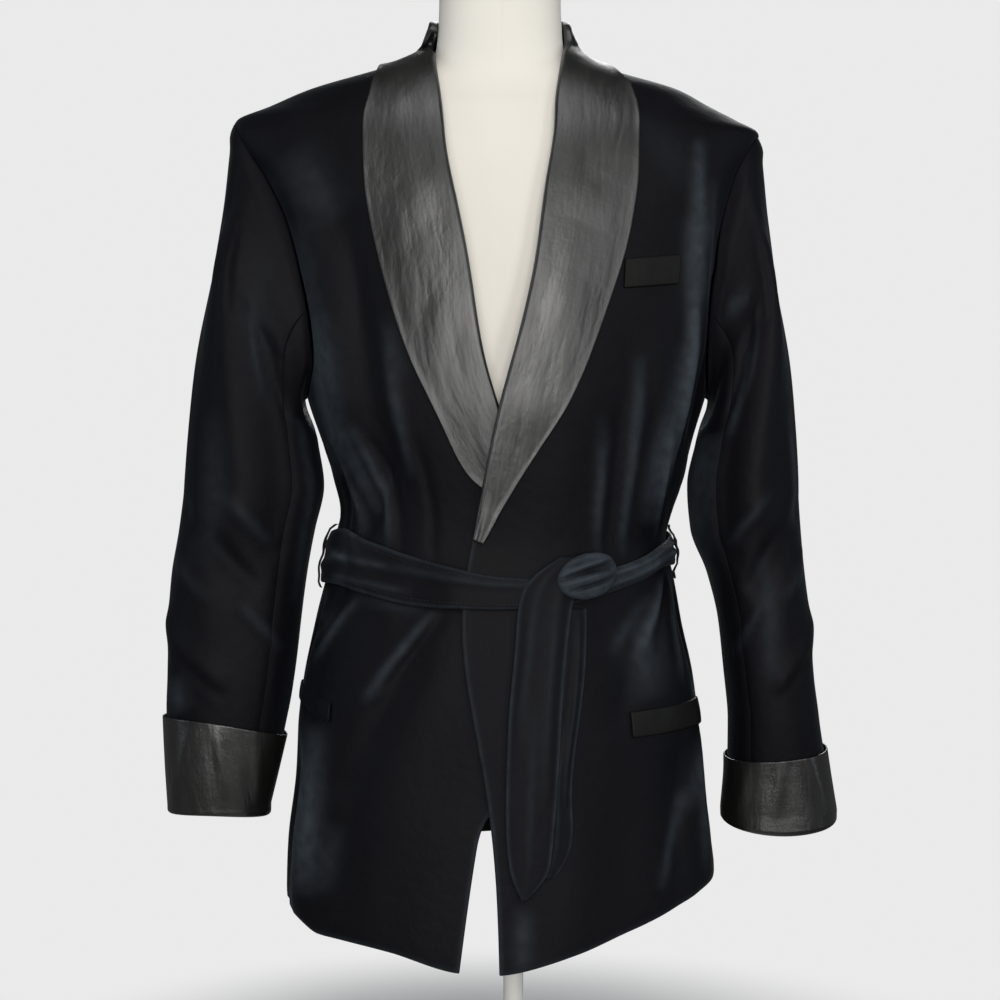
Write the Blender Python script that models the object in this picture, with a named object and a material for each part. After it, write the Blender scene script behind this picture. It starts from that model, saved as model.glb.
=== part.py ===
"""A velvet smoking jacket with a satin shawl collar, worn by a limbless dress form on a stand.

Run with: blender --background --python part.py
Metres, +Z up. The underside of the stand's base is at z = 0 and the jacket faces -Y.
The wearer's right side lies at -X, the wearer's left side, which laps over, at +X.

Every cloth piece is a wall on one body surface. A point of that surface is named by an angle
round the body (0 at centre front, +90 at the +X side, 180 at centre back) and a height.
"""
import math

import bpy
import numpy as np

# Cloth thickness and the gaps between layers
VELVET_WALL = 0.0018
BELT_WALL = 0.0030
SEAM_GAP = 0.0003
ARMHOLE_GAP = 0.0013
LAYER_GAP = 0.0006
WELT_WALL = 0.0018
LOOP_WALL = 0.0018

# Mean distances from the middle of the body or the sleeve, which turn a gap into an angle
GIRTH_RADIUS = 0.145
SIDE_RADIUS = 0.170
BACK_RADIUS = 0.120
NECK_RADIUS = 0.066
SLEEVE_RADIUS = 0.055

# How far the wearer's left front stands off the body where it laps over the right front
LAP_LIFT = 0.0080
LAP_FULL_X = 0.048
LAP_END_X = 0.115
LAP_FULL_Z = 0.630
LAP_END_Z = 0.820
BELT_STAND_OFF = 0.0022

# Heights that several pieces share
ARMPIT_Z = 0.596
TIP_Z = {-1: 0.8425, 1: 0.8310}
NECK_POINT_Z = 0.8995
BACK_NECK_Z = 0.8900

# Stand and dress form
POLE_X = 0.012
POLE_RADIUS = 0.009
BASE_RADIUS = 0.160
BASE_HEIGHT = 0.012
COLLAR_RING_RADIUS = 0.020
COLLAR_RING_HEIGHT = 0.030
FORM_BOTTOM_Z = 0.234

# Body sections of the jacket: height, half widths at -X and +X, depths to front and back
BODY_SECTIONS = np.array([
    (0.100, 0.1930, 0.1975, 0.139, 0.124),
    (0.150, 0.1926, 0.1955, 0.138, 0.125),
    (0.200, 0.1900, 0.1893, 0.135, 0.125),
    (0.260, 0.1835, 0.1805, 0.131, 0.123),
    (0.312, 0.1805, 0.1770, 0.127, 0.120),
    (0.350, 0.1760, 0.1730, 0.123, 0.115),
    (0.400, 0.1645, 0.1615, 0.116, 0.107),
    (0.440, 0.1540, 0.1540, 0.110, 0.101),
    (0.470, 0.1480, 0.1480, 0.109, 0.099),
    (0.500, 0.1415, 0.1545, 0.111, 0.101),
    (0.530, 0.1475, 0.1640, 0.115, 0.105),
    (0.560, 0.1590, 0.1720, 0.119, 0.110),
    (0.600, 0.1725, 0.1840, 0.123, 0.115),
    (0.650, 0.1820, 0.1950, 0.124, 0.119),
    (0.700, 0.1920, 0.1990, 0.121, 0.121),
    (0.750, 0.2060, 0.2060, 0.114, 0.119),
    (0.790, 0.2240, 0.2175, 0.105, 0.113),
    (0.818, 0.2395, 0.2290, 0.095, 0.105),
    (0.831, 0.2430, 0.2310, 0.089, 0.100),
    (0.843, 0.2360, 0.2110, 0.083, 0.095),
    (0.855, 0.2075, 0.1880, 0.076, 0.090),
    (0.8705, 0.1715, 0.1595, 0.067, 0.084),
    (0.8870, 0.1150, 0.1040, 0.057, 0.077),
    (0.8995, 0.0705, 0.0705, 0.0525, 0.0725),
    (0.9080, 0.0630, 0.0630, 0.0512, 0.0700),
    (0.9200, 0.0600, 0.0600, 0.0503, 0.0680),
    (0.9350, 0.0585, 0.0585, 0.0500, 0.0665),
    (0.9600, 0.0580, 0.0580, 0.0500, 0.0660),
])
BOXINESS = 0.045
# Share of a panel's rows over which they turn from the hem's line to level ones
HEM_ROWS = 0.35

# Centre front edge and roll line of each front: row, distance from centre, height
LEFT_EDGE = np.array([
    (0.000, -0.0353, 0.1083), (0.120, -0.0209, 0.2108), (0.240, 0.0057, 0.3038),
    (0.360, 0.0333, 0.4111), (0.480, 0.0215, 0.5189), (0.600, -0.0110, 0.6166),
    (0.720, -0.0285, 0.7136), (0.840, -0.0493, 0.8190),
])
RIGHT_EDGE = np.array([
    (0.000, 0.0003, 0.1084), (0.120, -0.0047, 0.2112), (0.240, -0.0198, 0.3126),
    (0.360, -0.0305, 0.4152), (0.480, -0.0140, 0.5155), (0.600, 0.0075, 0.6153),
    (0.720, 0.0310, 0.7128), (0.840, 0.0468, 0.8137),
])

# Armhole: row, angle at the front of the -X side and of the +X side, angle at the back, rise
ARMHOLE = np.array([
    (0.565, 90.0, 90.0, 90.0, 0.000),
    (0.595, 74.0, 80.0, 104.0, 0.030),
    (0.640, 62.0, 72.0, 113.0, 0.140),
    (0.700, 59.0, 68.0, 117.0, 0.335),
    (0.770, 60.0, 67.0, 117.0, 0.550),
    (0.840, 62.0, 68.0, 115.0, 0.740),
    (0.900, 64.0, 68.0, 112.5, 0.870),
    (0.950, 68.0, 71.5, 109.0, 0.950),
    (0.985, 77.0, 79.0, 101.5, 0.990),
    (1.000, 90.0, 90.0, 90.0, 1.000),
])
SIDE_SEAM = np.array([(0.14, 0.27), (0.27, 0.355), (0.40, 0.455), (0.50, 0.540)])

# Line up the back that ends at the neck point: row, angle, height (its first height is the hem's)
NECK_SHARE = 1.0 / 3.0
BACK_NECK_LINE = np.array([
    (0.000, 150.0, 0.186), (0.200, 150.0, 0.322), (0.400, 151.0, 0.462), (0.565, 152.0, 0.592),
    (0.700, 155.0, 0.696), (0.800, 156.0, 0.770), (0.870, 154.0, 0.824), (0.920, 147.0, 0.859),
    (0.955, 132.0, 0.8820), (0.980, 112.0, 0.8945), (1.000, 90.0, 0.8995),
])

# Hem height by angle round the body
HEM_LEFT = np.array([
    (-180.0, 0.187), (-150.0, 0.181), (-120.0, 0.166), (-90.0, 0.1500), (-74.0, 0.1480),
    (-62.0, 0.1440), (-52.0, 0.1325), (-43.0, 0.1308), (-28.0, 0.1238), (-10.0, 0.1085), (20.0, 0.1040),
])
HEM_RIGHT = np.array([
    (-20.0, 0.1060), (0.0, 0.1085), (19.0, 0.1250), (33.0, 0.1410), (46.0, 0.1540),
    (60.0, 0.1650), (75.0, 0.1740), (90.0, 0.1810), (120.0, 0.184), (150.0, 0.186),
    (180.0, 0.187),
])

# Largest folds of the body: angle and height at each end, half breadth, rise (below 0 a trough)
BODY_FOLDS = np.array([
    (-52.0, 0.800, -50.0, 0.520, 0.016, 0.0075),
    (-40.0, 0.790, -36.0, 0.520, 0.013, -0.0060),
    (-33.0, 0.560, -50.0, 0.478, 0.009, -0.0050),
    (-60.0, 0.500, -34.0, 0.405, 0.010, 0.0035),
    (-24.0, 0.380, -44.0, 0.260, 0.013, -0.0065),
    (-58.0, 0.300, -62.0, 0.120, 0.017, 0.0070),
    (-78.0, 0.290, -80.0, 0.130, 0.014, -0.0050),
    (56.0, 0.800, 58.0, 0.560, 0.013, 0.0065),
    (66.0, 0.700, 71.0, 0.560, 0.011, -0.0055),
    (42.0, 0.640, 62.0, 0.490, 0.011, 0.0045),
    (50.0, 0.420, 34.0, 0.320, 0.012, -0.0060),
    (72.0, 0.320, 68.0, 0.170, 0.016, 0.0065),
    (54.0, 0.280, 50.0, 0.150, 0.013, -0.0045),
    (112.0, 0.400, 118.0, 0.170, 0.018, 0.0070),
    (138.0, 0.380, 142.0, 0.170, 0.015, -0.0050),
    (158.0, 0.420, 160.0, 0.180, 0.018, 0.0060),
    (-112.0, 0.400, -120.0, 0.160, 0.018, 0.0070),
    (-140.0, 0.390, -138.0, 0.170, 0.015, -0.0050),
    (-160.0, 0.430, -162.0, 0.180, 0.018, 0.0055),
    (150.0, 0.560, 128.0, 0.480, 0.014, 0.0045),
    (-150.0, 0.570, -126.0, 0.480, 0.014, 0.0045),
    (128.0, 0.760, 134.0, 0.600, 0.014, 0.0045),
    (-128.0, 0.770, -136.0, 0.600, 0.014, 0.0045),
])

# Satin shawl collar: its fold continues the front's edge round the neck, by row, angle and height.
# From one row on the front's own edge turns away from the fold towards the neck point
FRONT_ROWS = 30
FOLD_LEAVES_ROW = 0.862
NECK_EDGE = np.array([
    (0.915, 19.5, 0.8690), (0.945, 31.0, 0.8850), (0.972, 55.0, 0.8950), (1.000, 90.0, NECK_POINT_Z),
])
NECK_FOLD = np.array([
    (0.905, 17.5, 0.866), (0.945, 34.0, 0.8930), (0.975, 60.0, 0.9090), (1.000, 80.0, 0.921),
    (1.050, 106.0, 0.936), (1.130, 140.0, 0.944), (1.2667, 180.0, 0.946),
])
# Its outer edge: row of the fold that it lies opposite, distance from centre, height
LEFT_LAPEL = np.array([
    (16 / FRONT_ROWS, -0.0040, 0.514), (0.563, -0.0270, 0.532), (0.600, -0.0495, 0.576),
    (0.650, -0.0752, 0.630), (0.710, -0.0970, 0.697), (0.780, -0.1130, 0.767),
    (0.850, -0.1195, 0.825), (0.915, -0.1165, 0.8660),
])
RIGHT_LAPEL = np.array([
    (13 / FRONT_ROWS, -0.0140, 0.473), (0.490, 0.0186, 0.533), (0.550, 0.0555, 0.5917),
    (0.610, 0.0785, 0.6437), (0.690, 0.1025, 0.7114), (0.775, 0.1160, 0.7750),
    (0.850, 0.1215, 0.8300), (0.915, 0.1175, 0.8670),
])
# and round the neck, as row, angle and height
NECK_HEM = np.array([
    (0.945, 54.0, 0.8800), (0.972, 66.0, 0.8865), (1.000, 80.0, 0.8895), (1.030, 94.0, 0.8900),
    (1.065, 109.0, 0.8888), (1.100, 126.0, 0.8855), (1.143, 145.0, 0.8795), (1.200, 163.0, 0.8735),
    (1.2667, 180.0, 0.8710),
])

# Sleeves: height, outer edge, inner edge, front and back of each ring
LEFT_SLEEVE = np.array([
    (0.560, 0.2790, 0.1630, -0.066, 0.057),
    (0.520, 0.2830, 0.1578, -0.067, 0.056),
    (0.480, 0.2885, 0.1655, -0.067, 0.054),
    (0.440, 0.2950, 0.1720, -0.066, 0.052),
    (0.400, 0.2975, 0.1775, -0.067, 0.047),
    (0.350, 0.2990, 0.1835, -0.067, 0.042),
    (0.310, 0.2985, 0.1915, -0.065, 0.038),
    (0.270, 0.2975, 0.2000, -0.062, 0.034),
    (0.234, 0.2960, 0.2080, -0.058, 0.030),
])
RIGHT_SLEEVE = np.array([
    (0.560, 0.2640, 0.1755, -0.073, 0.062),
    (0.520, 0.2670, 0.1680, -0.074, 0.061),
    (0.480, 0.2700, 0.1705, -0.074, 0.058),
    (0.440, 0.2735, 0.1850, -0.072, 0.057),
    (0.400, 0.2780, 0.1950, -0.071, 0.052),
    (0.350, 0.2820, 0.2005, -0.069, 0.048),
    (0.310, 0.2860, 0.2050, -0.067, 0.044),
    (0.270, 0.2925, 0.2045, -0.063, 0.040),
    (0.230, 0.3000, 0.2005, -0.060, 0.036),
])
# Sleeve folds: angle round the sleeve (0 outside, 90 front) and place along it at each end
SLEEVE_FOLDS = np.array([
    (60.0, 0.10, 85.0, 0.55, 0.30, 0.0040),
    (110.0, 0.20, 120.0, 0.60, 0.26, -0.0040),
    (30.0, 0.55, 95.0, 0.66, 0.22, -0.0035),
    (20.0, 0.72, 80.0, 0.80, 0.20, 0.0030),
    (300.0, 0.10, 285.0, 0.60, 0.30, 0.0040),
    (250.0, 0.50, 310.0, 0.62, 0.24, -0.0040),
])
SLEEVE_RADII_LONG = 9.0
CROWN_SHARE = 0.44
# The two pieces of a sleeve: angles round it where each starts and ends, and points across it
SLEEVE_SPANS = {"sleeve_top": (-122.0, 128.0, 15), "sleeve_under": (128.0, 238.0, 8)}

# Turned-back cuffs: height of the rim and of the top edge outside, in front, inside, behind
CUFFS = {
    -1: {"rim": (0.2270, 0.2290, 0.2240, 0.2260), "top": (0.3135, 0.3105, 0.2955, 0.3060)},
    1: {"rim": (0.2205, 0.2115, 0.2205, 0.2200), "top": (0.2850, 0.2785, 0.2770, 0.2820)},
}
CUFF_TURN_IN = 0.018

# Belt: angle round the body, top and bottom edge
BELT = np.array([
    (-180.0, 0.480, 0.438), (-120.0, 0.479, 0.436), (-90.0, 0.4765, 0.4325),
    (-62.0, 0.4810, 0.4340), (-45.0, 0.4720, 0.4280), (-30.0, 0.4610, 0.4200),
    (-15.0, 0.4510, 0.4160), (0.0, 0.4430, 0.4150), (14.0, 0.4410, 0.4165),
    (34.0, 0.4480, 0.4290), (50.0, 0.4570, 0.4400), (66.0, 0.4680, 0.4490),
    (90.0, 0.4760, 0.4480), (120.0, 0.4790, 0.4420), (180.0, 0.480, 0.438),
])

# Belt tails: height, left edge, right edge
FRONT_TAIL = np.array([
    (0.4600, 0.0490, 0.0680), (0.4450, 0.0290, 0.0645), (0.4200, 0.0162, 0.0585),
    (0.3850, 0.0130, 0.0540), (0.3360, 0.0085, 0.0500), (0.2810, 0.0060, 0.0470),
    (0.2110, 0.0068, 0.0415), (0.1920, 0.0100, 0.0370), (0.1730, 0.0175, 0.0215),
])
REAR_TAIL = np.array([
    (0.4140, 0.0500, 0.0705), (0.3800, 0.0478, 0.0703), (0.3300, 0.0435, 0.0660),
    (0.2520, 0.0370, 0.0586), (0.2060, 0.0350, 0.0545), (0.1900, 0.0335, 0.0450),
])


def smooth(table, at):
    """Interpolates each later column of a table over its first one, with no overshoot."""
    x = table[:, 0]
    at = np.clip(np.asarray(at, float), x[0], x[-1])
    step = np.diff(x)
    cell = np.clip(np.searchsorted(x, at, side="right") - 1, 0, len(x) - 2)
    t = (at - x[cell]) / step[cell]
    columns = []
    for y in table[:, 1:].T:
        slope = np.diff(y) / step
        mean = 2 * slope[:-1] * slope[1:] / np.where(slope[:-1] + slope[1:] == 0, 1, slope[:-1] + slope[1:])
        inner = np.where(slope[:-1] * slope[1:] > 0, mean, 0.0)
        tangent = np.concatenate([[slope[0]], inner, [slope[-1]]])
        a, b = y[cell], y[cell + 1]
        p, q = tangent[cell] * step[cell], tangent[cell + 1] * step[cell]
        value = (
            a * (2 * t**3 - 3 * t**2 + 1) + p * (t**3 - 2 * t**2 + t)
            + b * (3 * t**2 - 2 * t**3) + q * (t**3 - t**2)
        )
        columns.append(value)
    return columns


def spline(table, at):
    """Interpolates each later column of a table over its first one by a natural cubic curve."""
    x, y = table[:, 0], table[:, 1:]
    at = np.clip(np.asarray(at, float), x[0], x[-1])
    step = np.diff(x)[:, None]
    slope = np.diff(y, axis=0) / step
    system = np.eye(len(x))
    change = np.zeros_like(y)
    for i in range(1, len(x) - 1):
        before, after = step[i - 1, 0], step[i, 0]
        system[i, i - 1:i + 2] = before, 2 * (before + after), after
        change[i] = 6 * (slope[i] - slope[i - 1])
    bend = np.linalg.solve(system, change)
    cell = np.clip(np.searchsorted(x, at, side="right") - 1, 0, len(x) - 2)
    t, h = (at - x[cell])[..., None], step[cell]
    value = (
        y[cell] + t * (slope[cell] - h * (2 * bend[cell] + bend[cell + 1]) / 6)
        + t**2 * bend[cell] / 2 + t**3 * (bend[cell + 1] - bend[cell]) / (6 * h)
    )
    return list(np.moveaxis(value, -1, 0))


def ease(value, start, end):
    """A soft step from 0 at start to 1 at end."""
    t = np.clip((value - start) / (end - start), 0.0, 1.0)
    return t * t * (3 - 2 * t)


def base_point(angle, z):
    """The body surface without folds: an ellipse at each height, a little boxy at the corners."""
    left, right, front, back = smooth(BODY_SECTIONS, z)
    angle = np.radians(angle)
    across, deep = np.sin(angle), np.cos(angle)
    swell = 1 + BOXINESS * np.sin(2 * angle) ** 2 * (1 - ease(z, 0.82, 0.90))
    half = np.where(across < 0, left, right)
    reach = np.where(deep > 0, front, back)
    return np.stack([half * across * swell, -reach * deep * swell, z + 0 * angle], axis=-1)


def base_normal(angle, z):
    """The outward normal of the body surface."""
    around = base_point(angle + 0.5, z) - base_point(angle - 0.5, z)
    upward = base_point(angle, z + 0.0015) - base_point(angle, z - 0.0015)
    normal = np.cross(around, upward)
    return normal / np.linalg.norm(normal, axis=-1, keepdims=True)


def fold_height(angle, z):
    """How far the folds lift the cloth: a soft ridge or trough along each row's line."""
    lift = np.zeros(np.broadcast(angle, z).shape)
    radius = GIRTH_RADIUS
    for angle_a, z_a, angle_b, z_b, breadth, rise in BODY_FOLDS:
        ax, bx = math.radians(angle_a) * radius, math.radians(angle_b) * radius
        px = np.radians(angle) * radius
        dx, dz = bx - ax, z_b - z_a
        along = ((px - ax) * dx + (z - z_a) * dz) / (dx * dx + dz * dz)
        near = np.clip(along, 0.0, 1.0)
        away = np.hypot(px - ax - near * dx, z - z_a - near * dz)
        fade = np.sin(np.pi * np.clip(0.12 + 0.76 * along, 0.0, 1.0))
        lift = lift + rise * fade * np.exp(-((away / breadth) ** 2))
    return lift


def cloth(angle, z, out):
    """A point of the draped cloth, moved out from the body surface along its normal."""
    angle, z, out = np.broadcast_arrays(
        np.asarray(angle, float), np.asarray(z, float), np.asarray(out, float)
    )
    away = fold_height(angle, z) + out
    return base_point(angle, z) + base_normal(angle, z) * away[..., None]


def angle_at(x, z):
    """The angle on the front half whose point lies at the distance x from the centre plane."""
    x, z = np.broadcast_arrays(np.asarray(x, float), np.asarray(z, float))
    low, high = np.full(x.shape, -90.0), np.full(x.shape, 90.0)
    for _ in range(40):
        middle = (low + high) / 2
        less = base_point(middle, z)[..., 0] < x
        low, high = np.where(less, middle, low), np.where(less, high, middle)
    return (low + high) / 2


def lap_lift(angle, z):
    """How far the overlapping front stands off the body, full at its edge and none at the side."""
    x = base_point(angle, z)[..., 0]
    beside = 1 - ease(x, LAP_FULL_X, LAP_END_X)
    return LAP_LIFT * beside * (1 - ease(z, LAP_FULL_Z, LAP_END_Z)) * (np.abs(angle) < 90)


def material(name, colour, roughness, metallic=0.0):
    made = bpy.data.materials.new(name)
    made.use_nodes = True
    shader = made.node_tree.nodes["Principled BSDF"]
    shader.inputs["Base Color"].default_value = (*colour, 1.0)
    shader.inputs["Roughness"].default_value = roughness
    shader.inputs["Metallic"].default_value = metallic
    return made


def add_object(name, points, faces, finish, smooth_angle=50.0):
    mesh = bpy.data.meshes.new(name)
    mesh.from_pydata(np.asarray(points, float).reshape(-1, 3).tolist(), [], faces)
    mesh.materials.append(finish)
    mesh.shade_smooth()
    mesh.set_sharp_from_angle(angle=math.radians(smooth_angle))
    made = bpy.data.objects.new(name, mesh)
    bpy.context.collection.objects.link(made)
    return made


def grid_faces(rows, columns, start, wrap=False, flip=False):
    faces = []
    for i in range(rows - 1):
        for j in range(columns if wrap else columns - 1):
            k = (j + 1) % columns
            quad = [start + i * columns + j, start + i * columns + k,
                    start + (i + 1) * columns + k, start + (i + 1) * columns + j]
            faces.append(quad[::-1] if flip else quad)
    return faces


def wall(name, outer, inner, finish, wrap=False, flip=False):
    """A closed wall between two grids of points, joined by rims round its edges."""
    rows, columns = outer.shape[:2]
    count = rows * columns
    faces = grid_faces(rows, columns, 0, wrap, flip) + grid_faces(rows, columns, count, wrap, not flip)
    border = []
    if wrap:
        last = (rows - 1) * columns
        border.append(list(range(columns)) + [0])
        border.append([last + j for j in reversed(range(columns))] + [last + columns - 1])
    else:
        loop = list(range(columns))
        loop += [i * columns + columns - 1 for i in range(1, rows)]
        loop += [(rows - 1) * columns + j for j in range(columns - 2, -1, -1)]
        loop += [i * columns for i in range(rows - 2, -1, -1)]
        border.append(loop)
    for loop in border:
        for a, b in zip(loop[:-1], loop[1:]):
            quad = [a, a + count, b + count, b]
            faces.append(quad[::-1] if flip else quad)
    return add_object(name, np.concatenate([outer.reshape(-1, 3), inner.reshape(-1, 3)]), faces, finish)


def body_wall(name, angle, z, inside, thickness, finish, flip=False):
    """A wall on the body surface, between two distances out from it."""
    inner = cloth(angle, z, inside)
    outer = cloth(angle, z, inside + thickness)
    return wall(name, outer, inner, finish, flip=flip)


def armhole_rows(side, part):
    """The armhole's line as a table of row, angle and height."""
    column = {("front", -1): 1, ("front", 1): 2}.get((part, side), 3)
    heights = ARMPIT_Z + (TIP_Z[side] - ARMPIT_Z) * ARMHOLE[:, 4]
    return np.column_stack([ARMHOLE[:, 0], side * ARMHOLE[:, column], heights])


def side_line(side, part):
    """The side seam and the armhole above it, as a table of row, angle and height."""
    hem = hem_height(side, side * 90.0)
    seam = np.array([(0.0, side * 90.0, hem)] + [(row, side * 90.0, z) for row, z in SIDE_SEAM])
    return np.concatenate([seam, armhole_rows(side, part)])


def hem_height(side, angle):
    return smooth(HEM_LEFT if side < 0 else HEM_RIGHT, angle)[0]


def front_patch(side, rows, columns):
    """Angles and heights of a front: from its front edge to the side seam and the armhole."""
    v = np.linspace(0.0, 1.0, rows)[:, None]
    u = np.linspace(0.0, 1.0, columns)[None, :]
    edge_angle, edge_z = front_edge(side, v)
    side_angle, side_z = smooth(side_line(side, "front"), v)
    seam = math.degrees(SEAM_GAP / 2 / SIDE_RADIUS)
    side_angle = side_angle - side * seam
    angle = edge_angle + (side_angle - edge_angle) * u
    z = edge_z + (side_z - edge_z) * u
    level = edge_z[0] + (side_z[0] - edge_z[0]) * u
    z = z + (hem_height(side, angle[:1]) - level) * (1 - ease(v, 0.0, HEM_ROWS))
    return angle, z


def back_patch(side, rows, columns):
    """Angles and heights of a back half, between the centre back seam, the line that ends at the
    neck point, and the side seam with the armhole."""
    v = np.linspace(0.0, 1.0, rows)[:, None]
    u = np.linspace(0.0, 1.0, columns)[None, :]
    seam = math.degrees(SEAM_GAP / 2 / BACK_RADIUS)
    hem = hem_height(side, side * 180.0)
    middle_angle = side * (180.0 - seam) + 0.0 * v
    middle_z = hem + (BACK_NECK_Z - hem) * v
    start = np.array([(0.0, side * BACK_NECK_LINE[0, 1], hem_height(side, side * BACK_NECK_LINE[0, 1]))])
    neck_line = np.concatenate([start, BACK_NECK_LINE[1:] * np.array([1.0, side, 1.0])])
    neck_angle, neck_z = smooth(neck_line, v)
    side_angle, side_z = smooth(side_line(side, "back"), v)
    neck_angle, side_angle = neck_angle + side * seam, side_angle + side * seam
    near = np.clip(u / NECK_SHARE, 0.0, 1.0)
    far = np.clip((u - NECK_SHARE) / (1 - NECK_SHARE), 0.0, 1.0)
    angle = middle_angle + (neck_angle - middle_angle) * near + (side_angle - neck_angle) * far
    z = middle_z + (neck_z - middle_z) * near + (side_z - neck_z) * far
    level = z[:1]
    z = z + (hem_height(side, angle[:1]) - level) * (1 - ease(v, 0.0, HEM_ROWS))
    return angle, z


def make_body(velvet):
    for side, name in ((-1, "front_right_wearer"), (1, "front_left_wearer")):
        angle, z = front_patch(side, FRONT_ROWS + 1, 13)
        inside = lap_lift(angle, z) if side > 0 else 0.0 * z
        body_wall(name, angle, z, inside, VELVET_WALL, velvet, flip=side < 0)
    for side, name in ((-1, "back_right_wearer"), (1, "back_left_wearer")):
        angle, z = back_patch(side, 27, 10)
        body_wall(name, angle, z, 0.0 * z, VELVET_WALL, velvet, flip=side > 0)


def by_angle(table):
    """The same rows with the distance from centre turned into an angle round the body."""
    return np.column_stack([table[:, 0], angle_at(table[:, 1], table[:, 2]), table[:, 2]])


def fold_line(side, row):
    """Angle and height of the front's edge and, further up, of the collar's fold round the neck."""
    edge = by_angle(LEFT_EDGE if side < 0 else RIGHT_EDGE)
    return spline(np.concatenate([edge, NECK_FOLD * np.array([1.0, side, 1.0])]), row)


def front_edge(side, row):
    """Angle and height of a front's own edge, which leaves the fold for the neck point."""
    fold_angle, fold_z = fold_line(side, row)
    leave_angle, leave_z = fold_line(side, np.array([FOLD_LEAVES_ROW]))
    leave = [(FOLD_LEAVES_ROW, leave_angle[0], leave_z[0])]
    own_angle, own_z = smooth(np.concatenate([leave, NECK_EDGE * np.array([1.0, side, 1.0])]), row)
    gone = np.asarray(row) > FOLD_LEAVES_ROW
    return np.where(gone, own_angle, fold_angle), np.where(gone, own_z, fold_z)


def collar_hem(side, row):
    """Angle and height of the collar's outer edge."""
    lapel = by_angle(LEFT_LAPEL if side < 0 else RIGHT_LAPEL)
    return spline(np.concatenate([lapel, NECK_HEM * np.array([1.0, side, 1.0])]), row)


def collar_rows(side):
    """The rows of the front that the collar lies along, as far as the centre back."""
    first = round((LEFT_LAPEL if side < 0 else RIGHT_LAPEL)[0, 0] * FRONT_ROWS)
    last = round(NECK_HEM[-1, 0] * FRONT_ROWS)
    return np.arange(first, last + 1) / FRONT_ROWS


# Across the collar: share of its width, distance from the fold, and height above the front panel
COLLAR_OUTER = np.array([
    (0.0, 0.0080, -0.0025), (0.0, 0.0020, -0.0025), (0.0, -0.0017, -0.0011), (0.0, -0.0023, 0.0011),
    (0.0, -0.0015, 0.0036), (0.0, 0.0024, 0.0049), (0.2, 0.0, 0.0047), (0.4, 0.0, 0.0046),
    (0.6, 0.0, 0.0045), (0.8, 0.0, 0.0044), (1.0, 0.0, 0.0043),
])
COLLAR_INNER = np.array([
    (0.0, 0.0080, -0.0009), (0.0, 0.0020, -0.0009), (0.0, -0.0005, -0.0005), (0.0, -0.0007, 0.0011),
    (0.0, -0.0003, 0.0023), (0.0, 0.0024, 0.0033), (0.2, 0.0, 0.0031), (0.4, 0.0, 0.0030),
    (0.6, 0.0, 0.0029), (0.8, 0.0, 0.0028), (1.0, 0.0, 0.0027),
])


# The collar bridges the bend of the shoulder and lies this much freer there, and it stands this
# far off the hollow between neck and shoulder
SHOULDER_ROOM = 0.0012
NECK_PUFF = 0.0030


def make_collar(satin):
    for side, name in ((-1, "collar_right_wearer"), (1, "collar_left_wearer")):
        row = collar_rows(side)[:, None]
        fold_angle, fold_z = fold_line(side, row)
        edge_angle, edge_z = collar_hem(side, row)
        seam = math.degrees(SEAM_GAP / 2 / NECK_RADIUS)
        fold_angle = np.clip(fold_angle, -180 + seam, 180 - seam)
        edge_angle = np.clip(edge_angle, -180 + seam, 180 - seam)
        width = np.linalg.norm(
            base_point(edge_angle, edge_z) - base_point(fold_angle, fold_z), axis=-1
        )
        shoulder = ease(fold_z, 0.80, 0.87)
        sheets = []
        for profile in (COLLAR_OUTER, COLLAR_INNER):
            share = profile[None, :, 0] + profile[None, :, 1] / np.maximum(width, 0.018)
            angle = fold_angle + (edge_angle - fold_angle) * share
            z = fold_z + (edge_z - fold_z) * share
            across = np.clip(share, 0.0, 1.0)
            puff = NECK_PUFF * ease(z, 0.886, 0.903) * np.sin(np.pi * across) ** 1.5
            out = profile[None, :, 2] + SHOULDER_ROOM * shoulder * across + puff
            out = out + (lap_lift(angle, z) if side > 0 else 0.0)
            sheets.append(cloth(angle, z, out))
        wall(name, sheets[0], sheets[1], satin, flip=side < 0)


def sleeve_ring(side, z, around):
    """A horizontal ring of the sleeve below the crown: an ellipse between its four edges."""
    outer, inner, front, back = smooth(
        (LEFT_SLEEVE if side < 0 else RIGHT_SLEEVE)[::-1], np.asarray(z, float)
    )
    centre_x, half_x = (outer + inner) / 2, (outer - inner) / 2
    centre_y, half_y = (front + back) / 2, (back - front) / 2
    turn = np.radians(around)
    boxy = 1 + 0.05 * np.sin(2 * turn) ** 2
    x = side * (centre_x + half_x * np.cos(turn) * boxy)
    y = centre_y - half_y * np.sin(turn) * boxy
    return np.stack(np.broadcast_arrays(x, y, z + 0 * turn), axis=-1)


def armhole_loop(side, around):
    """Angles and heights of the armhole, for directions round the sleeve (0 top, 90 front)."""
    around = np.asarray(around, float) % 360.0
    front = around <= 180.0
    down = np.where(front, around, 360.0 - around) / 180.0
    row = 1.0 - (1.0 - ARMHOLE[0, 0]) * down
    front_angle, front_z = smooth(armhole_rows(side, "front"), row)
    back_angle, back_z = smooth(armhole_rows(side, "back"), row)
    return np.where(front, front_angle, back_angle), np.where(front, front_z, back_z)


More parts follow.
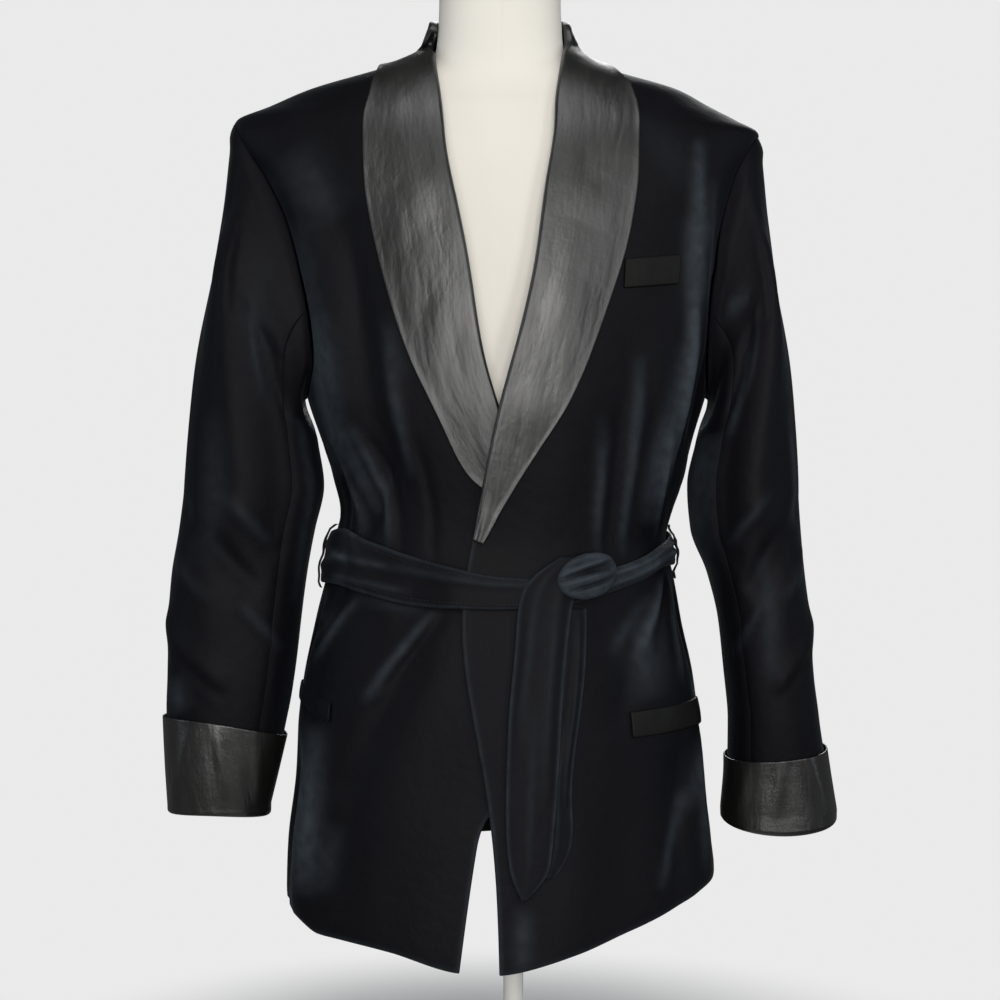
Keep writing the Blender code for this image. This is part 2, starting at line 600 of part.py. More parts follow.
def sleeve_point(side, around, along):
    """A point of the sleeve's outer surface: the crown bends from the armhole into the first ring."""
    around, along = np.broadcast_arrays(np.asarray(around, float), np.asarray(along, float))
    angle, z = armhole_loop(side, around)
    low = ease((1 - np.cos(np.radians(around))) / 2, 0.35, 0.80)
    start = cloth(angle, z, VELVET_WALL + (VELVET_WALL + 2 * SEAM_GAP) * low)
    start = start + outward(side, angle, z) * ARMHOLE_GAP
    table = LEFT_SLEEVE if side < 0 else RIGHT_SLEEVE
    top, bottom = table[0, 0], table[-1, 0]
    ring = sleeve_ring(side, top, around)
    turn = np.radians(around)
    leave = np.stack(np.broadcast_arrays(
        side * (0.10 + 0.42 * (1 - np.cos(turn)) / 2 + 0.45 * np.sin(turn) ** 2),
        -0.30 * np.sin(turn),
        -1.0 + 0.35 * np.sin(turn) ** 2,
    ), axis=-1)
    leave = leave / np.linalg.norm(leave, axis=-1, keepdims=True)
    arrive = sleeve_ring(side, top - 0.02, around) - ring
    arrive = arrive / np.linalg.norm(arrive, axis=-1, keepdims=True)
    reach = np.linalg.norm(ring - start, axis=-1, keepdims=True) * 0.38
    s = np.clip(along / CROWN_SHARE, 0.0, 1.0)[..., None]
    crown = (
        start * (1 - s) ** 3 + 3 * (start + leave * reach) * s * (1 - s) ** 2
        + 3 * (ring - arrive * reach) * s**2 * (1 - s) + ring * s**3
    )
    lower = np.clip((along - CROWN_SHARE) / (1 - CROWN_SHARE), 0.0, 1.0)
    tube = sleeve_ring(side, top + (bottom - top) * lower, around)
    return np.where((along < CROWN_SHARE)[..., None], crown, tube)


def outward(side, angle, z):
    """The direction along the body surface that points from the panels into the armhole."""
    middle = base_point(side * 90.0, ARMPIT_Z + 0.5 * (TIP_Z[side] - ARMPIT_Z))
    toward = middle - base_point(angle, z)
    normal = base_normal(angle, z)
    toward = toward - normal * (toward * normal).sum(axis=-1, keepdims=True)
    return toward / np.linalg.norm(toward, axis=-1, keepdims=True)


def sleeve_fold_height(around, along):
    lift = np.zeros(np.broadcast(around, along).shape)
    for around_a, along_a, around_b, along_b, breadth, rise in SLEEVE_FOLDS:
        ax, bx = math.radians(around_a), math.radians(around_b)
        px = np.radians(around)
        dx, dy = bx - ax, (along_b - along_a) * SLEEVE_RADII_LONG
        py = (along - along_a) * SLEEVE_RADII_LONG
        share = ((px - ax) * dx + py * dy) / (dx * dx + dy * dy)
        near = np.clip(share, 0.0, 1.0)
        away = np.hypot(px - ax - near * dx, py - near * dy)
        lift = lift + rise * np.exp(-((away / breadth) ** 2))
    return lift * ease(along, 0.03, 0.15) * (1 - ease(along, 0.80, 0.88))


def sleeve_sheet(side, around, along, out):
    """The sleeve's surface moved out along its normal, starting in line with the armhole's edge."""
    around, along = np.broadcast_arrays(np.asarray(around, float), np.asarray(along, float))
    here = sleeve_point(side, around, along)
    turn = sleeve_point(side, around + 1.0, along) - sleeve_point(side, around - 1.0, along)
    down = sleeve_point(side, around, np.minimum(along + 0.004, 1.0))
    down = down - sleeve_point(side, around, np.maximum(along - 0.004, 0.0))
    normal = np.cross(turn, down) * side
    normal = normal / np.linalg.norm(normal, axis=-1, keepdims=True)
    angle, z = armhole_loop(side, around)
    at_seam = base_normal(angle, z)
    share = (1 - ease(along, 0.0, 0.05))[..., None]
    normal = normal * (1 - share) + at_seam * share
    normal = normal / np.linalg.norm(normal, axis=-1, keepdims=True)
    away = (out + sleeve_fold_height(around, along))[..., None]
    return here + normal * away


def make_sleeves(velvet):
    along = np.concatenate([[0.0, 0.025], np.linspace(0.07, 1.0, 18)])[:, None]
    for side, word in ((-1, "right_wearer"), (1, "left_wearer")):
        for part, (start, end, columns) in SLEEVE_SPANS.items():
            gap = math.degrees(SEAM_GAP / SLEEVE_RADIUS)
            around = np.linspace(start + gap, end - gap, columns)[None, :]
            outer = sleeve_sheet(side, around, along, 0.0)
            inner = sleeve_sheet(side, around, along, -VELVET_WALL)
            wall(f"{part}_{word}", outer, inner, velvet, flip=side < 0)


def quarter_mix(values, around):
    """A smooth height round the sleeve from its values outside, in front, inside and behind."""
    outside, front, inside, behind = values
    turn = np.radians(around)
    mean = (outside + front + inside + behind) / 4
    wave = (outside - inside) / 2 * np.cos(turn) + (front - behind) / 2 * np.sin(turn)
    return mean + wave + (outside + inside - front - behind) / 4 * np.cos(2 * turn)


def make_cuffs(satin):
    around = np.concatenate([np.linspace(*span)[:-1] for span in SLEEVE_SPANS.values()])[None, :]
    outer_path = (("top", 0.0, 0.0036), ("top", -0.030, 0.0032), ("rim", 0.012, 0.0026),
                  ("rim", 0.0014, 0.0021), ("rim", 0.0, -0.0010), ("rim", 0.0014, -0.0042),
                  ("rim", CUFF_TURN_IN, -0.0046))
    inner_path = (("top", 0.0, 0.0020), ("top", -0.030, 0.0016), ("rim", 0.012, 0.0010),
                  ("rim", 0.0034, 0.0008), ("rim", 0.0016, -0.0010), ("rim", 0.0034, -0.0028),
                  ("rim", CUFF_TURN_IN, -0.0030))
    for side, word in ((-1, "right_wearer"), (1, "left_wearer")):
        table = LEFT_SLEEVE if side < 0 else RIGHT_SLEEVE
        sheets = []
        for path in (outer_path, inner_path):
            rows = []
            for line, rise, out in path:
                z = quarter_mix(CUFFS[side][line], around) + rise
                along = CROWN_SHARE + (1 - CROWN_SHARE) * (table[0, 0] - z) / (table[0, 0] - table[-1, 0])
                ring = sleeve_ring(side, np.minimum(z, table[0, 0]), around)
                centre = ring.mean(axis=1, keepdims=True)
                radial = (ring - centre) * np.array([1.0, 1.0, 0.0])
                radial = radial / np.linalg.norm(radial, axis=-1, keepdims=True)
                lift = out + sleeve_fold_height(around, np.clip(along, 0, 1))
                rows.append(ring + radial * lift[..., None])
            sheets.append(np.concatenate(rows, axis=0))
        wall(f"cuff_{word}", sheets[0], sheets[1], satin, wrap=True, flip=side < 0)


def belt_seat(angle, z):
    """How far out the belt lies: over the plain panel, or over the lap where the fronts cross."""
    x = base_point(angle, z)[..., 0]
    step = LAP_LIFT * ease(x, -0.075, -0.034) * (1 - ease(x, LAP_FULL_X, LAP_END_X))
    return VELVET_WALL + BELT_STAND_OFF + step * (np.abs(angle) < 90)


def make_belt(velvet):
    angle = np.linspace(-180.0, 180.0, 44, endpoint=False)[None, :]
    top, bottom = smooth(BELT, angle)
    share = np.array([0.0, 0.16, 0.84, 1.0])[:, None]
    thick = np.array([0.55, 1.0, 1.0, 0.55])[:, None] * BELT_WALL
    z = bottom + (top - bottom) * share
    seat = belt_seat(angle, (top + bottom) / 2) + 0.0 * share
    smoothing = fold_height(angle, z) - fold_height(angle, (top + bottom) / 2)
    seat = seat + np.maximum(-smoothing, 0.0)
    inner = cloth(angle, z, seat)
    outer = cloth(angle, z, seat + thick)
    wall("belt", outer, inner, velvet, wrap=True)


def tail_sheet(table, seat, rows, columns):
    z = np.linspace(table[0, 0], table[-1, 0], rows)[:, None]
    left, right = spline(table[::-1], z)
    u = np.linspace(0.0, 1.0, columns)[None, :]
    x = left + (right - left) * u
    angle = angle_at(x, z + 0 * u)
    fold = fold_height(angle, z)
    level = np.maximum(fold.max(axis=1, keepdims=True), 0.0)
    crown = TAIL_CROWN * np.sin(np.pi * u)
    out = seat + LAP_LIFT + level - fold
    return angle, z + 0 * u, out, crown


def make_tails(velvet):
    front_seat = VELVET_WALL + BELT_STAND_OFF + BELT_WALL + LAYER_GAP
    rear_seat = VELVET_WALL + LAYER_GAP
    for name, table, seat, thick in (
        ("belt_tail_front", FRONT_TAIL, front_seat, FRONT_TAIL_WALL),
        ("belt_tail_rear", REAR_TAIL, rear_seat, REAR_TAIL_WALL),
    ):
        angle, z, out, crown = tail_sheet(table, seat, 15, 6)
        inner = cloth(angle, z, out)
        outer = cloth(angle, z, out + thick + crown)
        wall(name, outer, inner, velvet, flip=True)


# Knot: centre, half length and half breadth on the belt, tilt in degrees, and how far it bulges
KNOT = (0.0700, 0.4430, 0.0250, 0.0200, 24.0, 0.0100)
KNOT_RIM = 0.0025
KNOT_ON_TAIL_X = 0.074
KNOT_ON_BELT_X = 0.098
FRONT_TAIL_WALL = 0.0030
REAR_TAIL_WALL = 0.0026
TAIL_CROWN = 0.0007


def knot_seat(angle, z):
    """How far out the knot starts: on the front tail, and on the bare belt beside it."""
    x = base_point(angle, z)[..., 0]
    belt = belt_seat(angle, z) + BELT_WALL + LAYER_GAP
    step = LAP_LIFT - belt_seat(angle, z) + VELVET_WALL + BELT_STAND_OFF
    tail = FRONT_TAIL_WALL + TAIL_CROWN + LAYER_GAP
    fold = fold_height(angle, z)
    return belt + (step + tail + fold.max() - fold) * (1 - ease(x, KNOT_ON_TAIL_X, KNOT_ON_BELT_X))


def make_knot(velvet):
    """A rounded wrap over the top of the front tail: its rim is thin and its middle bulges."""
    centre_x, centre_z, half_length, half_breadth, tilt, bulge = KNOT
    lean, climb = math.cos(math.radians(tilt)), math.sin(math.radians(tilt))
    u = np.linspace(-1.0, 1.0, 9)[None, :]
    v = np.linspace(-1.0, 1.0, 9)[:, None]
    square_x, square_z = u * np.sqrt(1 - v * v / 2), v * np.sqrt(1 - u * u / 2)
    length, breadth = half_length * square_x, half_breadth * square_z
    z = centre_z + climb * length + lean * breadth
    angle = angle_at(centre_x + lean * length - climb * breadth, z)
    radius = np.clip(square_x**2 + square_z**2, 0.0, 1.0)
    seat = knot_seat(angle, z)
    inner = cloth(angle, z, seat)
    outer = cloth(angle, z, seat + KNOT_RIM + bulge * np.sqrt(1 - radius * 0.999))
    wall("belt_knot", outer, inner, velvet)


# Pocket welts: name, finish, angles at both ends, heights of the middle line there, and depth
WELTS = (
    ("breast_welt", "satin", 31.0, 0.7030, 47.0, 0.7080, 0.0240),
    ("hip_welt_left_wearer", "satin", 38.0, 0.3160, 77.0, 0.3210, 0.0210),
    ("hip_welt_right_wearer", "velvet", -77.0, 0.3385, -52.0, 0.3235, 0.0155),
)


def make_welts(finishes):
    for name, finish, start, z_start, end, z_end, deep in WELTS:
        u = np.linspace(0.0, 1.0, 8)[None, :]
        v = np.linspace(-0.5, 0.5, 4)[:, None]
        angle = start + (end - start) * u + 0 * v
        z = z_start + (z_end - z_start) * u + deep * v
        lift = lap_lift(angle, z) if start > 0 else 0.0 * z
        seat = VELVET_WALL + LAYER_GAP + lift
        body_wall(name, angle, z, seat, WELT_WALL, finishes[finish])


# Belt loops at the side seams: angle, heights of their ends, and how far each stands over the belt
LOOPS = (
    ("belt_loop_right_wearer", -86.0, 0.4270, 0.4840, 0.0022),
    ("belt_loop_left_wearer", 86.0, 0.4360, 0.4840, 0.0035),
)


def make_loops(velvet):
    """A narrow strip that stands over the belt and is sewn down above and below it."""
    for name, middle, low, high, slack in LOOPS:
        v = np.linspace(0.0, 1.0, 11)[:, None]
        u = np.linspace(-1.0, 1.0, 3)[None, :]
        angle = middle + 2.6 * u + 0 * v
        z = low + (high - low) * v + 0 * u
        rise = ease(v, 0.0, 0.20) * (1 - ease(v, 0.80, 1.0))
        seat = VELVET_WALL + LAYER_GAP + (BELT_STAND_OFF + BELT_WALL + slack) * rise + 0 * u
        body_wall(name, angle, z, seat, LOOP_WALL, velvet)


# Dress form sections: height, half width, depth to front and back
FORM_SECTIONS = np.array([
    (0.234, 0.1380, 0.090, 0.082), (0.241, 0.1500, 0.100, 0.092), (0.256, 0.1570, 0.107, 0.098),
    (0.295, 0.1600, 0.111, 0.102), (0.350, 0.1550, 0.107, 0.098), (0.400, 0.1430, 0.099, 0.090),
    (0.440, 0.1310, 0.093, 0.084), (0.475, 0.1260, 0.092, 0.083), (0.510, 0.1270, 0.095, 0.086),
    (0.560, 0.1390, 0.103, 0.094), (0.610, 0.1530, 0.108, 0.100), (0.660, 0.1640, 0.109, 0.104),
    (0.710, 0.1720, 0.106, 0.106), (0.755, 0.1790, 0.099, 0.104), (0.795, 0.1840, 0.090, 0.098),
    (0.822, 0.1840, 0.081, 0.091), (0.840, 0.1770, 0.073, 0.086), (0.8535, 0.1630, 0.067, 0.082),
    (0.8653, 0.1420, 0.060, 0.077), (0.8763, 0.1180, 0.054, 0.072), (0.8841, 0.0940, 0.051, 0.0678),
    (0.8900, 0.0730, 0.0491, 0.0648), (0.8965, 0.0624, 0.0483, 0.0628), (0.9070, 0.0574, 0.0479, 0.0617),
    (0.9250, 0.0554, 0.0477, 0.0607), (0.9500, 0.0544, 0.0477, 0.0602), (0.9770, 0.0544, 0.0477, 0.0599),
    (0.9820, 0.0530, 0.0463, 0.0585), (0.9850, 0.0490, 0.0423, 0.0545),
])
FORM_TURN = 28


def form_ring(z, half, front, back, count=FORM_TURN):
    turn = np.linspace(0.0, 2 * math.pi, count, endpoint=False)
    reach = np.where(np.cos(turn) > 0, front, back)
    boxy = 1 + 0.03 * np.sin(2 * turn) ** 2
    return np.stack([half * np.sin(turn) * boxy, -reach * np.cos(turn) * boxy, np.full(count, z)], axis=-1)


def lofted(name, rings, finish, smooth_angle=50.0):
    """A closed solid through rings of points, with flat ends."""
    rings = np.array(rings)
    rows, columns = rings.shape[:2]
    faces = grid_faces(rows, columns, 0, wrap=True)
    faces.append(list(range(columns))[::-1])
    faces.append([(rows - 1) * columns + j for j in range(columns)])
    return add_object(name, rings, faces, finish, smooth_angle)


def make_form(finishes):
    heights = FORM_SECTIONS[:, 0]
    rings = [form_ring(z, *[float(c) for c in smooth(FORM_SECTIONS, z)]) for z in heights]
    lofted("dress_form", rings, finishes["linen"])


def turned(name, profile, x, finish, count):
    """A round solid on a vertical axis, from rows of height and radius."""
    turn = np.linspace(0.0, 2 * math.pi, count, endpoint=False)
    across, deep = np.cos(turn), np.sin(turn)
    rings = [np.stack([x + r * across, r * deep, np.full(count, z)], axis=-1) for z, r in profile]
    return lofted(name, rings, finish, 35.0)


def make_stand(finishes):
    turned("stand_base", [(0.0, BASE_RADIUS - 0.001), (0.001, BASE_RADIUS), (0.008, BASE_RADIUS),
                          (BASE_HEIGHT, BASE_RADIUS - 0.006)], 0.0, finishes["steel"], 48)
    foot = BASE_HEIGHT + SEAM_GAP
    head = FORM_BOTTOM_Z - SEAM_GAP
    flange = [(foot, COLLAR_RING_RADIUS), (foot + 0.006, COLLAR_RING_RADIUS),
              (foot + 0.010, POLE_RADIUS + 0.004), (foot + COLLAR_RING_HEIGHT, POLE_RADIUS + 0.003),
              (foot + COLLAR_RING_HEIGHT + 0.001, POLE_RADIUS),
              (head - 0.007, POLE_RADIUS), (head - 0.006, COLLAR_RING_RADIUS), (head, COLLAR_RING_RADIUS)]
    turned("stand_pole", flange, POLE_X, finishes["steel"], 24)


def main():
    for old in list(bpy.data.objects):
        bpy.data.objects.remove(old, do_unlink=True)
    finishes = {
        "velvet": material("velvet", (0.010, 0.012, 0.020), 0.85),
        "satin": material("satin", (0.030, 0.030, 0.032), 0.32),
        "linen": material("linen", (0.80, 0.77, 0.70), 0.80),
        "steel": material("steel", (0.80, 0.79, 0.76), 0.40),
    }
    make_body(finishes["velvet"])
    make_collar(finishes["satin"])
    make_sleeves(finishes["velvet"])
    make_cuffs(finishes["satin"])
    make_belt(finishes["velvet"])
    make_tails(finishes["velvet"])
    make_knot(finishes["velvet"])
    make_welts(finishes)
    make_loops(finishes["velvet"])
    make_form(finishes)
    make_stand(finishes)


main()
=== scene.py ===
"""A velvet smoking jacket with a satin shawl collar, worn by a linen dress form on a stand.

Metres, +Z up. The underside of the base is at z = 0 and the jacket faces -Y. The wearer's right
side lies at -X and the wearer's left side, which laps over, at +X. Every cloth piece is a thin
shell worked out on one body surface: a point of it is named by an angle round the body (0 at
centre front, +90 at the +X side, 180 at centre back) and a height.
"""

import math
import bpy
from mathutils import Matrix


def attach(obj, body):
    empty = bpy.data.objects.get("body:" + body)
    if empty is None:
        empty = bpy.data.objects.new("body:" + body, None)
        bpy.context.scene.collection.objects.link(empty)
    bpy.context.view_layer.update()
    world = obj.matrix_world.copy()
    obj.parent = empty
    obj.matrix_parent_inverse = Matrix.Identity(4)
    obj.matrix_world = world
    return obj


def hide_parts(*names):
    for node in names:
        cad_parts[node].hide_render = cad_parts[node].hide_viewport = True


bl_info = {
    "name": "Smoking jacket on a dress form",
    "version": (1, 0, 0),
    "blender": (4, 5, 0),
    "location": "3D View > Sidebar > Jacket",
    "description": "Builds a velvet smoking jacket with a satin shawl collar on a dress form",
    "category": "Object",
}

import bpy
import numpy as np

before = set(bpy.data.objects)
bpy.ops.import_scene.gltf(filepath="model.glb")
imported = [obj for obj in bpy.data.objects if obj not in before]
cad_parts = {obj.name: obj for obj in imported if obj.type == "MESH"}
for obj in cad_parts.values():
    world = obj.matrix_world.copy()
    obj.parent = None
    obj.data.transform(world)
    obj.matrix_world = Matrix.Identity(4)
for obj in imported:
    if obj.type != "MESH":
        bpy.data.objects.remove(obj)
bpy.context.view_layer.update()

# Sides of the wearer: -1 is the wearer's right, which the picture shows on its left
SIDES = {-1: "right_wearer", 1: "left_wearer"}


# Cloth thickness and the gaps between layers
VELVET_WALL = 0.0018
BELT_WALL = 0.0030
SEAM_GAP = 0.0003
ARMHOLE_GAP = 0.0013
LAYER_GAP = 0.0006
WELT_WALL = 0.0018
LOOP_WALL = 0.0018
# Mean distances from the middle of the body or the sleeve, which turn a gap into an angle, and
# the lengths on them for one degree
GIRTH_RADIUS = 0.145
SIDE_RADIUS = 0.170
BACK_RADIUS = 0.120
NECK_RADIUS = 0.066
SLEEVE_RADIUS = 0.055
BODY_TURN = math.radians(1.0) * GIRTH_RADIUS
SLEEVE_TURN = math.radians(1.0) * SLEEVE_RADIUS
# How far the wearer's left front stands off the body where it laps over the right front
LAP_LIFT = 0.0080
LAP_FULL_X = 0.048
LAP_END_X = 0.115
LAP_FULL_Z = 0.630
LAP_END_Z = 0.820
BELT_STAND_OFF = 0.0022
# Heights that several pieces share
ARMPIT_Z = 0.596
TIP_Z = {-1: 0.8425, 1: 0.8310}
NECK_POINT_Z = 0.8995
BACK_NECK_Z = 0.8900
# Body sections of the jacket: height, half widths at -X and +X, depths to front and back
BODY_SECTIONS = np.array([
    (0.1, 0.193, 0.1975, 0.139, 0.124), (0.15, 0.1926, 0.1955, 0.138, 0.125),
    (0.2, 0.19, 0.1893, 0.135, 0.125), (0.26, 0.1835, 0.1805, 0.131, 0.123),
    (0.312, 0.1805, 0.177, 0.127, 0.12), (0.35, 0.176, 0.173, 0.123, 0.115),
    (0.4, 0.1645, 0.1615, 0.116, 0.107), (0.44, 0.154, 0.154, 0.11, 0.101),
    (0.47, 0.148, 0.148, 0.109, 0.099), (0.5, 0.1415, 0.1545, 0.111, 0.101),
    (0.53, 0.1475, 0.164, 0.115, 0.105), (0.56, 0.159, 0.172, 0.119, 0.11),
    (0.6, 0.1725, 0.184, 0.123, 0.115), (0.65, 0.182, 0.195, 0.124, 0.119),
    (0.7, 0.192, 0.199, 0.121, 0.121), (0.75, 0.206, 0.206, 0.114, 0.119),
    (0.79, 0.224, 0.2175, 0.105, 0.113), (0.818, 0.2395, 0.229, 0.095, 0.105),
    (0.831, 0.243, 0.231, 0.089, 0.1), (0.843, 0.236, 0.211, 0.083, 0.095),
    (0.855, 0.2075, 0.188, 0.076, 0.09), (0.8705, 0.1715, 0.1595, 0.067, 0.084),
    (0.887, 0.115, 0.104, 0.057, 0.077), (0.8995, 0.0705, 0.0705, 0.0525, 0.0725),
    (0.908, 0.063, 0.063, 0.0512, 0.07), (0.92, 0.06, 0.06, 0.0503, 0.068),
    (0.935, 0.0585, 0.0585, 0.05, 0.0665), (0.96, 0.058, 0.058, 0.05, 0.066),
])
BOXINESS = 0.045
# Share of a panel's rows over which they turn from the hem's line to level ones
HEM_ROWS = 0.35
# Centre front edge and roll line of each front, the wearer's right (left in the picture) first:
# row, distance from centre, height
LEFT_EDGE = np.array([
    (0, -0.0353, 0.1083), (0.12, -0.0209, 0.2108), (0.145, -0.016, 0.23), (0.18, -0.001, 0.257),
    (0.24, 0.01, 0.3038), (0.36, 0.0333, 0.4111), (0.48, 0.0215, 0.5189), (0.6, -0.011, 0.6166),
    (0.72, -0.0285, 0.7136), (0.84, -0.0493, 0.819),
])
RIGHT_EDGE = np.array([
    (0, 0.0003, 0.1084), (0.12, -0.0047, 0.2112), (0.24, -0.0198, 0.3126),
    (0.36, -0.0305, 0.4152), (0.48, -0.014, 0.5155), (0.6, 0.0075, 0.6153),
    (0.72, 0.031, 0.7128), (0.84, 0.0468, 0.8137),
])
# Armhole: row, angle at the front of the -X side and of the +X side, angle at the back, rise
ARMHOLE = np.array([
    (0.565, 90, 90, 90, 0), (0.595, 74, 80, 104, 0.03), (0.64, 62, 72, 113, 0.14),
    (0.7, 59, 68, 117, 0.335), (0.77, 60, 67, 117, 0.55), (0.84, 62, 68, 115, 0.74),
    (0.9, 64, 68, 112.5, 0.87), (0.95, 68, 71.5, 109, 0.95), (0.985, 77, 79, 101.5, 0.99),
    (1, 90, 90, 90, 1),
])
SIDE_SEAM = np.array([(0.14, 0.27), (0.27, 0.355), (0.40, 0.455), (0.50, 0.540)])
# Line up the back that ends at the neck point: row, angle, height (its first height is the hem's)
NECK_SHARE = 1.0 / 3.0
BACK_NECK_LINE = np.array([
    (0, 150, 0.186), (0.2, 150, 0.322), (0.4, 151, 0.462), (0.565, 152, 0.592),
    (0.7, 155, 0.696), (0.8, 156, 0.77), (0.87, 154, 0.824), (0.92, 147, 0.859),
    (0.955, 132, 0.882), (0.98, 112, 0.8945), (1, 90, 0.8995),
])
# Hem height by angle round the body
HEM_LEFT = np.array([
    (-180, 0.187), (-150, 0.181), (-120, 0.166), (-90, 0.15), (-74, 0.148), (-62, 0.144),
    (-52, 0.1325), (-43, 0.1308), (-28, 0.1238), (-10, 0.1085), (20, 0.104),
])
HEM_RIGHT = np.array([
    (-20, 0.106), (0, 0.1085), (19, 0.125), (33, 0.141), (46, 0.154), (60, 0.165), (75, 0.174),
    (90, 0.181), (120, 0.184), (150, 0.186), (180, 0.187),
])
# Largest folds of the body: angle and height at each end, half breadth, rise (below 0 a trough)
BODY_FOLDS = np.array([
    (-52, 0.8, -50, 0.52, 0.016, 0.0075), (-40, 0.79, -36, 0.52, 0.013, -0.006),
    (-33, 0.56, -50, 0.478, 0.009, -0.005), (-60, 0.5, -34, 0.405, 0.01, 0.0035),
    (-24, 0.38, -44, 0.26, 0.013, -0.0065), (-58, 0.3, -62, 0.12, 0.017, 0.007),
    (-78, 0.29, -80, 0.13, 0.014, -0.005), (56, 0.8, 58, 0.56, 0.013, 0.0065),
    (66, 0.7, 71, 0.56, 0.011, -0.0055), (42, 0.64, 62, 0.49, 0.011, 0.0045),
    (50, 0.42, 34, 0.32, 0.012, -0.006), (72, 0.32, 68, 0.17, 0.016, 0.0065),
    (54, 0.28, 50, 0.15, 0.013, -0.0045), (112, 0.4, 118, 0.17, 0.018, 0.007),
    (138, 0.38, 142, 0.17, 0.015, -0.005), (158, 0.42, 160, 0.18, 0.018, 0.006),
    (-112, 0.4, -120, 0.16, 0.018, 0.007), (-140, 0.39, -138, 0.17, 0.015, -0.005),
    (-160, 0.43, -162, 0.18, 0.018, 0.0055), (150, 0.56, 128, 0.48, 0.014, 0.0045),
    (-150, 0.57, -126, 0.48, 0.014, 0.0045), (128, 0.76, 134, 0.6, 0.014, 0.0045),
    (-128, 0.77, -136, 0.6, 0.014, 0.0045),
])
# Satin shawl collar: its fold continues the front's edge round the neck, by row, angle and height.
# From one row on the front's own edge turns away from the fold towards the neck point
FRONT_ROWS = 30
FOLD_LEAVES_ROW = 0.862
NECK_EDGE = np.array([
    (0.915, 19.5, 0.869), (0.945, 31, 0.885), (0.972, 55, 0.895), (1, 90, NECK_POINT_Z),
])
# The fold beside the neck: row, distance from centre on the wearer's right and left, height
FOLD_BESIDE = np.array([
    (0.872, -0.0514, 0.049, 0.843), (0.9, -0.0538, 0.0508, 0.8625),
    (0.925, -0.056, 0.0528, 0.8795), (0.947, -0.058, 0.0549, 0.8925),
    (0.967, -0.0597, 0.057, 0.9035), (0.985, -0.0614, 0.0594, 0.913),
])
NECK_FOLD = np.array([
    (1, 80, 0.921), (1.05, 106, 0.936), (1.13, 140, 0.944), (1.2667, 180, 0.946),
])
# Its outer edge: row of the fold that it lies opposite, distance from centre, height
LEFT_LAPEL = np.array([
    (16 / FRONT_ROWS, -0.004, 0.514), (0.563, -0.027, 0.532), (0.6, -0.0495, 0.576),
    (0.65, -0.0752, 0.63), (0.71, -0.097, 0.697), (0.78, -0.113, 0.767), (0.815, -0.116, 0.797),
    (0.85, -0.1172, 0.825), (0.885, -0.1155, 0.849), (0.915, -0.1115, 0.866),
    (0.94, -0.1078, 0.877), (0.962, -0.1058, 0.8835),
])
RIGHT_LAPEL = np.array([
    (13 / FRONT_ROWS, -0.014, 0.473), (0.49, 0.0186, 0.533), (0.55, 0.0555, 0.5917),
    (0.61, 0.0785, 0.6437), (0.69, 0.1025, 0.7114), (0.775, 0.116, 0.775),
    (0.812, 0.1186, 0.803), (0.85, 0.1202, 0.83), (0.885, 0.1182, 0.852),
    (0.915, 0.1125, 0.868), (0.94, 0.105, 0.8775), (0.962, 0.1, 0.8835),
])
# and round the neck, as row, angle and height
NECK_HEM = np.array([
    (1, 80, 0.8895), (1.03, 94, 0.89), (1.065, 109, 0.8888), (1.1, 126, 0.8855),
    (1.143, 145, 0.8795), (1.2, 163, 0.8735), (1.2667, 180, 0.871),
])
# The collar bridges the bend of the shoulder and lies this much freer there, and it stands this
# far off the hollow between neck and shoulder
SHOULDER_ROOM = 0.0012
NECK_PUFF = 0.0030
# Sleeves: height, outer edge, inner edge, front and back of each ring
LEFT_SLEEVE = np.array([
    (0.56, 0.279, 0.163, -0.066, 0.057), (0.52, 0.283, 0.1578, -0.067, 0.056),
    (0.48, 0.2885, 0.1655, -0.067, 0.054), (0.44, 0.295, 0.172, -0.066, 0.052),
    (0.4, 0.2975, 0.1775, -0.067, 0.047), (0.35, 0.299, 0.1835, -0.067, 0.042),
    (0.31, 0.2985, 0.1915, -0.065, 0.038), (0.27, 0.2975, 0.2, -0.062, 0.034),
    (0.234, 0.296, 0.208, -0.058, 0.03),
])
RIGHT_SLEEVE = np.array([
    (0.56, 0.264, 0.1755, -0.073, 0.062), (0.52, 0.267, 0.168, -0.074, 0.061),
    (0.48, 0.27, 0.1705, -0.074, 0.058), (0.44, 0.2735, 0.185, -0.072, 0.057),
    (0.4, 0.278, 0.195, -0.071, 0.052), (0.35, 0.282, 0.2005, -0.069, 0.048),
    (0.31, 0.286, 0.205, -0.067, 0.044), (0.27, 0.2925, 0.2045, -0.063, 0.04),
    (0.23, 0.3, 0.2005, -0.06, 0.036),
])
# Sleeve folds: angle round the sleeve (0 outside, 90 front) and place along it at each end
SLEEVE_FOLDS = np.array([
    (60, 0.1, 85, 0.55, 0.3, 0.004), (110, 0.2, 120, 0.6, 0.26, -0.004),
    (30, 0.55, 95, 0.66, 0.22, -0.0035), (20, 0.72, 80, 0.8, 0.2, 0.003),
    (300, 0.1, 285, 0.6, 0.3, 0.004), (250, 0.5, 310, 0.62, 0.24, -0.004),
])
SLEEVE_RADII_LONG = 9.0
CROWN_SHARE = 0.44
# Turned-back cuffs: height of the rim and of the top edge outside, in front, inside, behind
CUFFS = {
    -1: {"rim": (0.2270, 0.2290, 0.2240, 0.2260), "top": (0.3135, 0.3105, 0.2955, 0.3060)},
    1: {"rim": (0.2205, 0.2115, 0.2205, 0.2200), "top": (0.2850, 0.2785, 0.2770, 0.2820)},
}
CUFF_TURN_IN = 0.018
